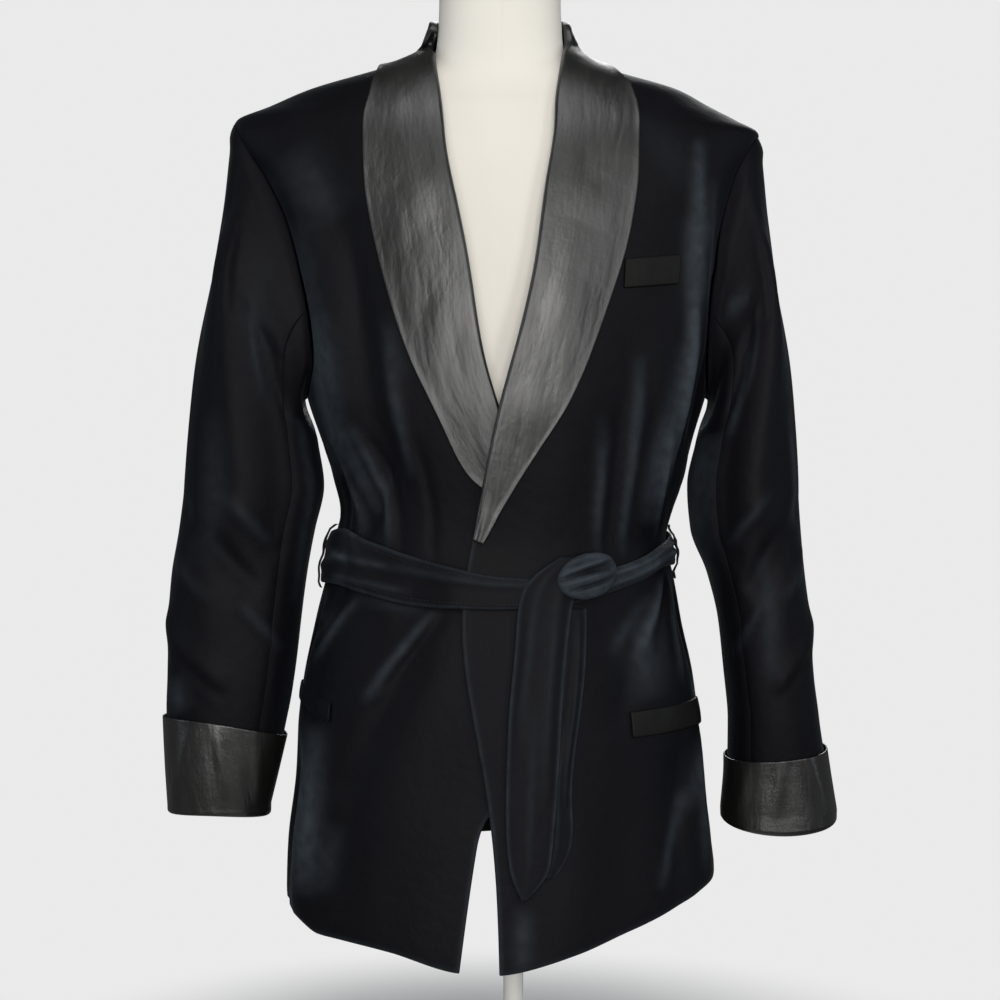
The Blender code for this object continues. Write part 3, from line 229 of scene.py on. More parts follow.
# Belt: angle round the body, top and bottom edge
BELT = np.array([
    (-180, 0.48, 0.438), (-120, 0.479, 0.436), (-90, 0.4765, 0.4325), (-62, 0.481, 0.434),
    (-45, 0.472, 0.428), (-30, 0.461, 0.42), (-15, 0.451, 0.416), (0, 0.443, 0.415),
    (14, 0.441, 0.4165), (34, 0.448, 0.429), (50, 0.457, 0.44), (66, 0.468, 0.449),
    (90, 0.476, 0.448), (120, 0.479, 0.442), (180, 0.48, 0.438),
])
# Belt tails: height, left edge, right edge
FRONT_TAIL = np.array([
    (0.46, 0.049, 0.068), (0.445, 0.029, 0.0645), (0.42, 0.0162, 0.0585), (0.385, 0.013, 0.054),
    (0.336, 0.0085, 0.05), (0.281, 0.006, 0.047), (0.211, 0.0068, 0.0415), (0.192, 0.01, 0.037),
    (0.173, 0.0175, 0.0215),
])
REAR_TAIL = np.array([
    (0.414, 0.05, 0.0705), (0.38, 0.0478, 0.0703), (0.33, 0.0435, 0.066),
    (0.252, 0.037, 0.0586), (0.206, 0.035, 0.0545), (0.19, 0.0335, 0.045),
])
# Knot: centre, half length and half breadth on the belt, tilt in degrees, and how far it bulges
KNOT = (0.0700, 0.4430, 0.0250, 0.0200, 24.0, 0.0100)
KNOT_RIM = 0.0025
KNOT_ON_TAIL_X = 0.074
KNOT_ON_BELT_X = 0.098
FRONT_TAIL_WALL = 0.0030
REAR_TAIL_WALL = 0.0026
TAIL_CROWN = 0.0007
# Pocket welts: name, finish, angles at both ends, heights of the middle line there, and depth
WELTS = (
    ("breast_welt", "satin", 31.0, 0.7030, 47.0, 0.7080, 0.0240),
    ("hip_welt_left_wearer", "satin", 38.0, 0.3160, 77.0, 0.3210, 0.0210),
    ("hip_welt_right_wearer", "velvet", -77.0, 0.3385, -52.0, 0.3235, 0.0155),
)
# Belt loops at the side seams: angle and heights of their ends
LOOPS = (
    ("belt_loop_right_wearer", -86.0, 0.4270, 0.4840),
    ("belt_loop_left_wearer", 86.0, 0.4360, 0.4840),
)
# Dress form sections: height, half width, depth to front and back
FORM_SECTIONS = np.array([
    (0.234, 0.138, 0.09, 0.082), (0.241, 0.15, 0.1, 0.092), (0.256, 0.157, 0.107, 0.098),
    (0.295, 0.16, 0.111, 0.102), (0.35, 0.155, 0.107, 0.098), (0.4, 0.143, 0.099, 0.09),
    (0.44, 0.131, 0.093, 0.084), (0.475, 0.126, 0.092, 0.083), (0.51, 0.127, 0.095, 0.086),
    (0.56, 0.139, 0.103, 0.094), (0.61, 0.153, 0.108, 0.1), (0.66, 0.164, 0.109, 0.104),
    (0.71, 0.172, 0.106, 0.106), (0.755, 0.179, 0.099, 0.104), (0.795, 0.184, 0.09, 0.098),
    (0.822, 0.184, 0.081, 0.091), (0.84, 0.177, 0.073, 0.086), (0.8535, 0.163, 0.067, 0.082),
    (0.8653, 0.142, 0.06, 0.077), (0.8763, 0.118, 0.054, 0.072), (0.8841, 0.094, 0.051, 0.0678),
    (0.89, 0.073, 0.0491, 0.0648), (0.8965, 0.0624, 0.0483, 0.0628),
    (0.907, 0.0574, 0.0479, 0.0617), (0.925, 0.0554, 0.0477, 0.0607),
    (0.95, 0.0544, 0.0477, 0.0602), (0.977, 0.0544, 0.0477, 0.0599),
    (0.982, 0.053, 0.0463, 0.0585), (0.985, 0.049, 0.0423, 0.0545),
])
# Stand and dress form
POLE_X = 0.012
POLE_RADIUS = 0.009
BASE_RADIUS = 0.160
BASE_HEIGHT = 0.012
COLLAR_RING_RADIUS = 0.020
COLLAR_RING_HEIGHT = 0.030
FORM_BOTTOM_Z = 0.234


def smooth(table, at):
    """Interpolates each later column of a table over its first one, with no overshoot."""
    x = table[:, 0]
    at = np.clip(np.asarray(at, float), x[0], x[-1])
    step = np.diff(x)
    cell = np.clip(np.searchsorted(x, at, side="right") - 1, 0, len(x) - 2)
    t = (at - x[cell]) / step[cell]
    columns = []
    for y in table[:, 1:].T:
        slope = np.diff(y) / step
        before, after = slope[:-1], slope[1:]
        mean = 2 * before * after / np.where(before + after == 0, 1, before + after)
        inner = np.where(before * after > 0, mean, 0.0)
        tangent = np.concatenate([[slope[0]], inner, [slope[-1]]])
        a, b = y[cell], y[cell + 1]
        p, q = tangent[cell] * step[cell], tangent[cell + 1] * step[cell]
        columns.append(
            a * (2 * t**3 - 3 * t**2 + 1) + p * (t**3 - 2 * t**2 + t)
            + b * (3 * t**2 - 2 * t**3) + q * (t**3 - t**2)
        )
    return columns


def spline(table, at):
    """Interpolates each later column of a table over its first one by a natural cubic curve."""
    x, y = table[:, 0], table[:, 1:]
    at = np.clip(np.asarray(at, float), x[0], x[-1])
    step = np.diff(x)[:, None]
    slope = np.diff(y, axis=0) / step
    system = np.eye(len(x))
    change = np.zeros_like(y)
    for i in range(1, len(x) - 1):
        before, after = step[i - 1, 0], step[i, 0]
        system[i, i - 1:i + 2] = before, 2 * (before + after), after
        change[i] = 6 * (slope[i] - slope[i - 1])
    bend = np.linalg.solve(system, change)
    cell = np.clip(np.searchsorted(x, at, side="right") - 1, 0, len(x) - 2)
    t, h = (at - x[cell])[..., None], step[cell]
    value = (
        y[cell] + t * (slope[cell] - h * (2 * bend[cell] + bend[cell + 1]) / 6)
        + t**2 * bend[cell] / 2 + t**3 * (bend[cell + 1] - bend[cell]) / (6 * h)
    )
    return list(np.moveaxis(value, -1, 0))


def ease(value, start, end):
    """A soft step from 0 at start to 1 at end."""
    t = np.clip((value - start) / (end - start), 0.0, 1.0)
    return t * t * (3 - 2 * t)


def base_point(angle, z):
    """The body surface without folds: an ellipse at each height, a little boxy at the corners."""
    left, right, front, back = smooth(BODY_SECTIONS, z)
    angle = np.radians(angle)
    across, deep = np.sin(angle), np.cos(angle)
    swell = 1 + BOXINESS * np.sin(2 * angle) ** 2 * (1 - ease(z, 0.82, 0.90))
    half = np.where(across < 0, left, right)
    reach = np.where(deep > 0, front, back)
    return np.stack([half * across * swell, -reach * deep * swell, z + 0 * angle], axis=-1)


def unit(vectors):
    """The same directions with length 1."""
    return vectors / np.maximum(np.linalg.norm(vectors, axis=-1, keepdims=True), 1e-12)


def base_normal(angle, z):
    """The outward normal of the body surface."""
    around = base_point(angle + 0.5, z) - base_point(angle - 0.5, z)
    upward = base_point(angle, z + 0.0015) - base_point(angle, z - 0.0015)
    return unit(np.cross(around, upward))


def scaled(table, across, along=1.0):
    """The table with the places of its lines in other units across and along."""
    return table * np.array([across, along, across, along, 1.0, 1.0])


def fold_height(angle, z):
    """How far the largest folds lift the cloth."""
    return line_lift(scaled(BODY_FOLDS, BODY_TURN), angle * BODY_TURN, z, 0.12, 1.0)


def angle_at(x, z):
    """The angle on the front half whose point lies at the distance x from the centre plane."""
    x, z = np.broadcast_arrays(np.asarray(x, float), np.asarray(z, float))
    low, high = np.full(x.shape, -90.0), np.full(x.shape, 90.0)
    for _ in range(40):
        middle = (low + high) / 2
        less = base_point(middle, z)[..., 0] < x
        low, high = np.where(less, middle, low), np.where(less, high, middle)
    return (low + high) / 2


def lap_lift(angle, z):
    """How far the overlapping front stands off the body, full at its edge and none at the side."""
    x = base_point(angle, z)[..., 0]
    beside = 1 - ease(x, LAP_FULL_X, LAP_END_X)
    return LAP_LIFT * beside * (1 - ease(z, LAP_FULL_Z, LAP_END_Z)) * (np.abs(angle) < 90)


def armhole_rows(side, part):
    """The armhole's line as a table of row, angle and height."""
    column = {("front", -1): 1, ("front", 1): 2}.get((part, side), 3)
    heights = ARMPIT_Z + (TIP_Z[side] - ARMPIT_Z) * ARMHOLE[:, 4]
    return np.column_stack([ARMHOLE[:, 0], side * ARMHOLE[:, column], heights])


def side_line(side, part):
    """The side seam and the armhole above it, as a table of row, angle and height."""
    hem = hem_height(side, side * 90.0)
    seam = np.array([(0.0, side * 90.0, hem)] + [(row, side * 90.0, z) for row, z in SIDE_SEAM])
    return np.concatenate([seam, armhole_rows(side, part)])


def hem_height(side, angle):
    """The height of the hem at an angle round the body."""
    return smooth(HEM_LEFT if side < 0 else HEM_RIGHT, angle)[0]


def by_angle(table):
    """The same rows with the distance from centre turned into an angle round the body."""
    return np.column_stack([table[:, 0], angle_at(table[:, 1], table[:, 2]), table[:, 2]])


def mirrored(table, side):
    """A table of row, angle and height for a side: angles change sign on the wearer's right."""
    return table * np.array([1.0, side, 1.0])


def fold_line(side, row):
    """Angle and height of the front's edge and, further up, of the collar's fold round the neck."""
    edge, column = (LEFT_EDGE, 1) if side < 0 else (RIGHT_EDGE, 2)
    edge = by_angle(np.concatenate([edge, FOLD_BESIDE[:, [0, column, 3]]]))
    return spline(np.concatenate([edge, mirrored(NECK_FOLD, side)]), row)


def front_edge(side, row):
    """Angle and height of a front's own edge, which leaves the fold for the neck point."""
    fold_angle, fold_z = fold_line(side, row)
    leave_angle, leave_z = fold_line(side, np.array([FOLD_LEAVES_ROW]))
    leave = [(FOLD_LEAVES_ROW, leave_angle[0], leave_z[0])]
    own_angle, own_z = smooth(np.concatenate([leave, mirrored(NECK_EDGE, side)]), row)
    gone = np.asarray(row) > FOLD_LEAVES_ROW
    return np.where(gone, own_angle, fold_angle), np.where(gone, own_z, fold_z)


def collar_hem(side, row):
    """Angle and height of the collar's outer edge."""
    lapel = by_angle(LEFT_LAPEL if side < 0 else RIGHT_LAPEL)
    return spline(np.concatenate([lapel, mirrored(NECK_HEM, side)]), row)


def sleeve_ring(side, z, around):
    """A horizontal ring of the sleeve below the crown: an ellipse between its four edges."""
    outer, inner, front, back = smooth(
        (LEFT_SLEEVE if side < 0 else RIGHT_SLEEVE)[::-1], np.asarray(z, float)
    )
    centre_x, half_x = (outer + inner) / 2, (outer - inner) / 2
    centre_y, half_y = (front + back) / 2, (back - front) / 2
    turn = np.radians(around)
    boxy = 1 + 0.05 * np.sin(2 * turn) ** 2
    x = side * (centre_x + half_x * np.cos(turn) * boxy)
    y = centre_y - half_y * np.sin(turn) * boxy
    return np.stack(np.broadcast_arrays(x, y, z + 0 * turn), axis=-1)


def armhole_loop(side, around):
    """Angles and heights of the armhole, for directions round the sleeve (0 top, 90 front)."""
    around = np.asarray(around, float) % 360.0
    front = around <= 180.0
    down = np.where(front, around, 360.0 - around) / 180.0
    row = 1.0 - (1.0 - ARMHOLE[0, 0]) * down
    front_angle, front_z = smooth(armhole_rows(side, "front"), row)
    back_angle, back_z = smooth(armhole_rows(side, "back"), row)
    return np.where(front, front_angle, back_angle), np.where(front, front_z, back_z)


def sleeve_point(side, around, along):
    """A point of the sleeve's outer surface: the crown bends from the armhole into the first
    ring, and rings follow below it."""
    around, along = np.broadcast_arrays(np.asarray(around, float), np.asarray(along, float))
    angle, z = armhole_loop(side, around)
    low = ease((1 - np.cos(np.radians(around))) / 2, 0.35, 0.80)
    start = cloth(angle, z, VELVET_WALL + (VELVET_WALL + 2 * SEAM_GAP) * low)
    start = start + outward(side, angle, z) * ARMHOLE_GAP
    table = LEFT_SLEEVE if side < 0 else RIGHT_SLEEVE
    top, bottom = table[0, 0], table[-1, 0]
    ring = sleeve_ring(side, top, around)
    turn = np.radians(around)
    leave = unit(np.stack(np.broadcast_arrays(
        side * (0.10 + 0.42 * (1 - np.cos(turn)) / 2 + 0.45 * np.sin(turn) ** 2),
        -0.30 * np.sin(turn),
        -1.0 + 0.35 * np.sin(turn) ** 2,
    ), axis=-1))
    arrive = unit(sleeve_ring(side, top - 0.02, around) - ring)
    reach = np.linalg.norm(ring - start, axis=-1, keepdims=True) * 0.38
    s = np.clip(along / CROWN_SHARE, 0.0, 1.0)[..., None]
    crown = (
        start * (1 - s) ** 3 + 3 * (start + leave * reach) * s * (1 - s) ** 2
        + 3 * (ring - arrive * reach) * s**2 * (1 - s) + ring * s**3
    )
    lower = np.clip((along - CROWN_SHARE) / (1 - CROWN_SHARE), 0.0, 1.0)
    tube = sleeve_ring(side, top + (bottom - top) * lower, around)
    return np.where((along < CROWN_SHARE)[..., None], crown, tube)


def outward(side, angle, z):
    """The direction along the body surface that points from the panels into the armhole."""
    middle = base_point(side * 90.0, ARMPIT_Z + 0.5 * (TIP_Z[side] - ARMPIT_Z))
    toward = middle - base_point(angle, z)
    normal = base_normal(angle, z)
    return unit(toward - normal * (toward * normal).sum(axis=-1, keepdims=True))


def sleeve_fold_height(around, along):
    """How far the largest folds lift the sleeve, with lengths in sleeve radii."""
    table = scaled(SLEEVE_FOLDS, math.radians(1.0), SLEEVE_RADII_LONG)
    lift = line_lift(table, np.radians(around), along * SLEEVE_RADII_LONG, power=0.0)
    return lift * ease(along, 0.03, 0.15) * (1 - ease(along, 0.80, 0.88))


def quarter_mix(values, around):
    """A smooth height round the sleeve from its values outside, in front, inside and behind."""
    outside, front, inside, behind = values
    turn = np.radians(around)
    mean = (outside + front + inside + behind) / 4
    wave = (outside - inside) / 2 * np.cos(turn) + (front - behind) / 2 * np.sin(turn)
    return mean + wave + (outside + inside - front - behind) / 4 * np.cos(2 * turn)


def belt_seat(angle, z):
    """How far out the belt lies: over the plain panel, or over the lap where the fronts cross."""
    x = base_point(angle, z)[..., 0]
    step = LAP_LIFT * ease(x, -0.075, -0.034) * (1 - ease(x, LAP_FULL_X, LAP_END_X))
    return VELVET_WALL + BELT_STAND_OFF + step * (np.abs(angle) < 90)


def knot_seat(angle, z):
    """How far out the knot starts: on the front tail, and on the bare belt beside it."""
    x = base_point(angle, z)[..., 0]
    belt = belt_seat(angle, z) + BELT_WALL + LAYER_GAP
    step = LAP_LIFT - belt_seat(angle, z) + VELVET_WALL + BELT_STAND_OFF
    tail = FRONT_TAIL_WALL + TAIL_CROWN + LAYER_GAP
    fold = fold_height(angle, z)
    return belt + (step + tail + fold.max() - fold) * (1 - ease(x, KNOT_ON_TAIL_X, KNOT_ON_BELT_X))


# Finer creases of the velvet: angle and height at each end, half breadth, rise
BODY_CREASES = np.array([
    (-63, 0.54, -50, 0.476, 0.005, 0.003), (-58, 0.53, -47, 0.474, 0.0045, -0.0028),
    (-47, 0.57, -38, 0.465, 0.005, 0.0032), (-42, 0.56, -33, 0.462, 0.005, -0.003),
    (-31, 0.65, -30, 0.53, 0.006, 0.0026), (-26, 0.56, -22, 0.456, 0.005, -0.0024),
    (-72, 0.57, -62, 0.482, 0.0055, -0.0026), (-80, 0.56, -76, 0.485, 0.005, 0.0026),
    (-20, 0.415, -39, 0.335, 0.006, 0.0034), (-17, 0.412, -33, 0.35, 0.005, -0.0028),
    (-47, 0.425, -66, 0.365, 0.0065, 0.003), (-55, 0.43, -74, 0.385, 0.0055, -0.0028),
    (-74, 0.42, -80, 0.35, 0.006, -0.0026), (-66, 0.29, -64, 0.155, 0.006, 0.0022),
    (-40, 0.27, -44, 0.15, 0.008, -0.0022), (-36, 0.76, -40, 0.64, 0.008, -0.002),
    (37, 0.63, 43, 0.462, 0.006, 0.0034), (33, 0.6, 37, 0.458, 0.005, -0.0026),
    (28, 0.58, 33, 0.456, 0.005, 0.0022), (49, 0.75, 60, 0.535, 0.0065, 0.0034),
    (55, 0.72, 65, 0.52, 0.0055, -0.003), (46, 0.82, 59, 0.66, 0.0065, 0.0032),
    (52, 0.57, 62, 0.48, 0.005, 0.003), (57, 0.54, 66, 0.482, 0.0045, -0.003),
    (72, 0.56, 76, 0.485, 0.005, 0.0026), (62, 0.438, 43, 0.372, 0.0055, 0.0036),
    (66, 0.438, 50, 0.365, 0.005, -0.0032), (70, 0.435, 62, 0.35, 0.0055, 0.003),
    (77, 0.43, 78, 0.34, 0.0055, -0.0026), (71, 0.3, 64, 0.185, 0.006, 0.0026),
    (58, 0.29, 53, 0.185, 0.007, -0.0024), (104, 0.56, 112, 0.484, 0.0055, 0.003),
    (118, 0.55, 122, 0.484, 0.005, -0.0028), (134, 0.57, 131, 0.484, 0.0055, 0.003),
    (150, 0.55, 146, 0.484, 0.005, -0.0026), (164, 0.56, 161, 0.484, 0.0055, 0.0026),
    (-104, 0.55, -110, 0.484, 0.0055, 0.003), (-120, 0.56, -124, 0.484, 0.005, -0.0028),
    (-137, 0.55, -133, 0.484, 0.0055, 0.0028), (-152, 0.56, -148, 0.484, 0.005, -0.0026),
    (-167, 0.55, -163, 0.484, 0.0055, 0.0026), (106, 0.43, 100, 0.35, 0.0055, 0.0028),
    (124, 0.43, 128, 0.36, 0.005, -0.0026), (146, 0.43, 150, 0.35, 0.0055, 0.0028),
    (-105, 0.43, -101, 0.35, 0.0055, 0.0028), (-126, 0.43, -129, 0.36, 0.005, -0.0026),
    (-148, 0.43, -152, 0.35, 0.0055, 0.0028), (122, 0.8, 132, 0.65, 0.008, 0.0026),
    (-124, 0.81, -133, 0.66, 0.008, 0.0026),
])
# and of the sleeves: angle round the sleeve and place along it at each end, half breadth, rise
SLEEVE_CREASES = np.array([
    (95, 0.16, 108, 0.34, 0.006, 0.0022), (118, 0.2, 128, 0.38, 0.0055, -0.0022),
    (70, 0.52, 120, 0.6, 0.006, 0.0026), (60, 0.57, 112, 0.66, 0.0055, -0.0026),
    (20, 0.6, 70, 0.68, 0.006, 0.0022), (95, 0.68, 140, 0.76, 0.006, 0.0024),
    (40, 0.76, 92, 0.83, 0.0055, -0.0022), (12, 0.22, 18, 0.52, 0.007, 0.002),
    (60, 0.08, 74, 0.22, 0.005, -0.0018), (45, 0.06, 40, 0.2, 0.005, 0.0016),
    (250, 0.54, 300, 0.62, 0.006, 0.0026), (240, 0.61, 292, 0.69, 0.0055, -0.0024),
    (262, 0.18, 256, 0.4, 0.006, 0.0022), (300, 0.1, 312, 0.26, 0.0055, -0.0018),
    (330, 0.62, 352, 0.74, 0.006, 0.002),
])

# Painted highlights on the fronts, patches of a lighter, bluer colour where light would catch the
# folds: distance from centre and height at each end, half breadth, strength
FRONT_PAINTED_HIGHLIGHTS = np.array([
    (-0.183, 0.808, -0.141, 0.753, 0.0198, 0.26), (-0.177, 0.744, -0.148, 0.608, 0.0126, 0.55),
    (-0.157, 0.663, -0.142, 0.535, 0.0126, 0.95), (-0.138, 0.578, -0.109, 0.5, 0.0081, 0.62),
    (-0.203, 0.791, -0.171, 0.655, 0.0072, 0.22), (-0.096, 0.668, -0.085, 0.612, 0.0108, 0.18),
    (0.119, 0.842, 0.162, 0.783, 0.0162, 0.1), (0.171, 0.817, 0.175, 0.732, 0.0045, 0.36),
    (0.183, 0.783, 0.181, 0.668, 0.0036, 0.4), (0.176, 0.753, 0.157, 0.595, 0.0054, 0.34),
    (0.162, 0.638, 0.13, 0.493, 0.0099, 0.62), (0.143, 0.587, 0.128, 0.51, 0.0072, 0.18),
    (0.091, 0.569, 0.082, 0.484, 0.0036, 0.24), (0.119, 0.403, 0.132, 0.339, 0.0162, 0.36),
    (0.096, 0.378, 0.128, 0.424, 0.0063, 0.36), (0.176, 0.301, 0.164, 0.237, 0.0054, 0.3),
    (0.162, 0.254, 0.14, 0.177, 0.0054, 0.5), (0.02, 0.164, 0.019, 0.113, 0.0081, 0.45),
    (-0.162, 0.305, -0.169, 0.169, 0.0108, 0.95), (-0.143, 0.228, -0.152, 0.169, 0.0081, 0.26),
    (-0.171, 0.424, -0.145, 0.39, 0.0099, 0.22), (-0.119, 0.422, -0.064, 0.414, 0.0045, 0.22),
])
# and on the backs, by angle and height
BACK_PAINTED_HIGHLIGHTS = np.array([
    (128, 0.77, 140, 0.56, 0.014, 0.5), (-124, 0.78, -138, 0.56, 0.015, 0.55),
    (106, 0.72, 112, 0.56, 0.008, 0.4), (-108, 0.7, -113, 0.55, 0.007, 0.4),
    (113, 0.4, 118, 0.21, 0.012, 0.6), (-113, 0.39, -119, 0.2, 0.012, 0.6),
    (156, 0.4, 160, 0.22, 0.011, 0.45), (-158, 0.42, -162, 0.23, 0.011, 0.45),
    (158, 0.84, 172, 0.76, 0.02, 0.3), (-150, 0.82, -168, 0.7, 0.018, 0.3),
])
# and on the sleeves: side, angle round the sleeve and place along it at each end
SLEEVE_PAINTED_HIGHLIGHTS = np.array([
    (-1, 95, 0.06, 112, 0.36, 0.015, 0.12), (-1, 36, 0.8, 50, 0.85, 0.012, 0.5),
    (-1, 142, 0.36, 152, 0.68, 0.007, 0.4), (-1, 60, 0.4, 66, 0.62, 0.011, 0.22),
    (-1, 262, 0.1, 252, 0.44, 0.013, 0.5), (-1, 300, 0.5, 312, 0.76, 0.01, 0.4),
    (1, 146, 0.42, 166, 0.66, 0.017, 0.85), (1, 108, 0.2, 118, 0.42, 0.007, 0.4),
    (1, 36, 0.4, 30, 0.56, 0.005, 0.45), (1, 118, 0.05, 98, 0.12, 0.007, 0.35),
    (1, 84, 0.62, 96, 0.8, 0.01, 0.28), (1, 258, 0.12, 268, 0.4, 0.013, 0.5),
    (1, 306, 0.54, 296, 0.76, 0.01, 0.4),
])


# Depth and half breadth of the dip that a seam draws into the velvet
SEAM_DIP = 0.0011
SEAM_BREADTH = 0.0035
# and of the shallower ones at the shoulder and the hem
SHOULDER_DIP = 0.0006
HEM_DIP = 0.0005
HEM_BREADTH = 0.0040
# Rows and columns of the finished grids
FRONT_GRID = (190, 84)
BACK_GRID = (180, 84)
BELT_GRID = (30, 420)
TAIL_GRID = (130, 40)
SLEEVE_ROWS = 170
CUFF_COLUMNS = 144
COLLAR_ROWS = 230
KNOT_ROWS = 90


def line_lift(table, across, along, margin=0.06, power=0.7):
    """Soft ridges and troughs along straight lines: each rises as a bell across its line and fades
    towards its ends, as a power of a half sine wave that runs past each end by a margin. The first
    four columns of the table are the places of the two ends, in the units of across and along."""
    lift = np.zeros(np.broadcast(across, along).shape)
    for across_a, along_a, across_b, along_b, breadth, rise in table:
        run, climb = across_b - across_a, along_b - along_a
        share = (across - across_a) * run + (along - along_a) * climb
        share = share / (run * run + climb * climb)
        near = np.clip(share, 0.0, 1.0)
        away = np.hypot(across - across_a - near * run, along - along_a - near * climb)
        fade = np.sin(np.pi * np.clip(margin + (1 - 2 * margin) * share, 0.0, 1.0))
        lift = lift + rise * fade**power * np.exp(-((away / breadth) ** 2))
    return lift


def body_crease(angle, z):
    """The finer creases of the body, from their table."""
    return line_lift(scaled(BODY_CREASES, BODY_TURN), angle * BODY_TURN, z)


def uneven(across, along, depth):
    """A slow unevenness, never above zero: three long sine waves that cross each other."""
    waves = (
        np.sin(2 * np.pi * (across / 0.083 + along / 0.31) + 1.7)
        + np.sin(2 * np.pi * (across / 0.047 - along / 0.19) + 0.6)
        + np.sin(2 * np.pi * (along / 0.11 + across / 0.21) + 2.9)
    )
    return depth * (waves / 3 - 1)


def under_cover(angle, z):
    """1 where the belt or a lapel lies on the velvet and 0 where it is free, with a soft border."""
    top, bottom = smooth(BELT, angle)
    belted = ease(z, bottom - 0.010, bottom - 0.001) * (1 - ease(z, top + 0.001, top + 0.010))
    x = base_point(angle, z)[..., 0]
    left = np.interp(z, LEFT_LAPEL[:, 2], LEFT_LAPEL[:, 1])
    right = np.interp(z, RIGHT_LAPEL[:, 2], RIGHT_LAPEL[:, 1])
    inside = ease(x, left - 0.012, left - 0.002) * (1 - ease(x, right + 0.002, right + 0.012))
    front = (np.abs(angle) < 90) * ease(z, 0.46, 0.50)
    return np.maximum(belted, inside * front)


def velvet_lift(angle, z):
    """How the free velvet departs from the body surface: its creases and its slow unevenness."""
    crease = body_crease(angle, z) * bpy.context.scene.jacket_cloth.crease_strength
    crease = np.minimum(crease, 0.0) + np.maximum(crease, 0.0) * (1 - under_cover(angle, z))
    yoke = 1 - ease(z, 0.79, 0.84)
    return crease * yoke + uneven(angle * BODY_TURN, z, 0.0009) * yoke


def painted_ridge_highlight(crease):
    """Painted highlight on a crease: a lighter colour only on its crest, where light would catch it.
    """
    return 0.60 * np.clip(crease / 0.0030, 0.0, 1.2) ** 1.5


def body_painted_highlight(angle, z):
    """How strong the body's painted highlight is: on its crease crests and in the listed patches."""
    front = line_lift(FRONT_PAINTED_HIGHLIGHTS, base_point(angle, z)[..., 0], z)
    back = line_lift(scaled(BACK_PAINTED_HIGHLIGHTS, BODY_TURN), angle * BODY_TURN, z)
    return np.where(np.abs(angle) < 90.0, front, back) + painted_ridge_highlight(body_crease(angle, z))


def cloth(angle, z, out):
    """A point of the draped cloth, moved out from the body surface along its normal."""
    angle, z, out = (np.asarray(value, float) for value in (angle, z, out))
    angle, z, out = np.broadcast_arrays(angle, z, out)
    away = fold_height(angle, z) + out
    return base_point(angle, z) + base_normal(angle, z) * away[..., None]


def spread(count, close=0.003):
    """Shares from 0 to 1, evenly spaced, with one more close to each end for a crisp rim."""
    return np.sort(np.concatenate([np.linspace(0.0, 1.0, count), [close, 1.0 - close]]))


def edge_distances(grid):
    """How far each point of a grid is from the first and last column and the first and last row."""
    found = []
    for axis in (1, 0):
        step = np.linalg.norm(np.diff(grid, axis=axis), axis=-1)
        start = np.insert(np.cumsum(step, axis=axis), 0, 0.0, axis=axis)
        found += [start, np.take(start, [-1], axis=axis) - start]
    return found


def bell(distance, breadth):
    """1 at no distance, and a bell away from it."""
    return np.exp(-((distance / breadth) ** 2))


def dip(distance, depth=SEAM_DIP, breadth=SEAM_BREADTH):
    """A seam's dip: deepest on the seam, and a bell away from it."""
    return -depth * bell(distance, breadth)


def flat_places(grid, painted_highlight):
    """Places in the cloth's own plane in metres, along each row and along each column, and the
    strength of the painted highlight there."""
    left, _, bottom, _ = edge_distances(grid)
    return np.stack([left, bottom, painted_highlight + 0.0 * left], axis=-1)


def long_rims(grid, breadth):
    """1 on the first and last column of a grid and a bell away from them."""
    left, right, _, _ = edge_distances(grid)
    return bell(np.minimum(left, right), breadth)


def lip(outer, inner, edge, beside):
    """A row of points half a wall beyond an edge, which rounds it."""
    middle = (outer[edge] + inner[edge]) / 2
    away = middle - (outer[beside] + inner[beside]) / 2
    away = away / np.maximum(np.linalg.norm(away, axis=-1, keepdims=True), 1e-9)
    half = np.linalg.norm(outer[edge] - inner[edge], axis=-1, keepdims=True) / 2
    return middle + away * half


def quads(index):
    """The four-sided faces of a grid of point numbers."""
    corners = index[:-1, :-1], index[:-1, 1:], index[1:, 1:], index[1:, :-1]
    return np.stack(corners, axis=-1).reshape(-1, 4)


def joined(index):
    """A grid of point numbers whose first column comes again after its last."""
    return np.concatenate([index, index[:, :1]], axis=1)


def mesh_object(name, points, faces, finish):
    """A smooth-shaded mesh object at the origin."""
    mesh = bpy.data.meshes.new(name)
    mesh.from_pydata(points.tolist(), [], faces)
    mesh.materials.append(finish)
    mesh.shade_smooth()
    made = bpy.data.objects.new(name, mesh)
    bpy.context.scene.collection.objects.link(made)
    return made


def mesh_piece(name, points, faces, finish):
    """A mesh object that rides on the part."""
    made = mesh_object(name, points, faces, finish)
    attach(made, "root")
    return made


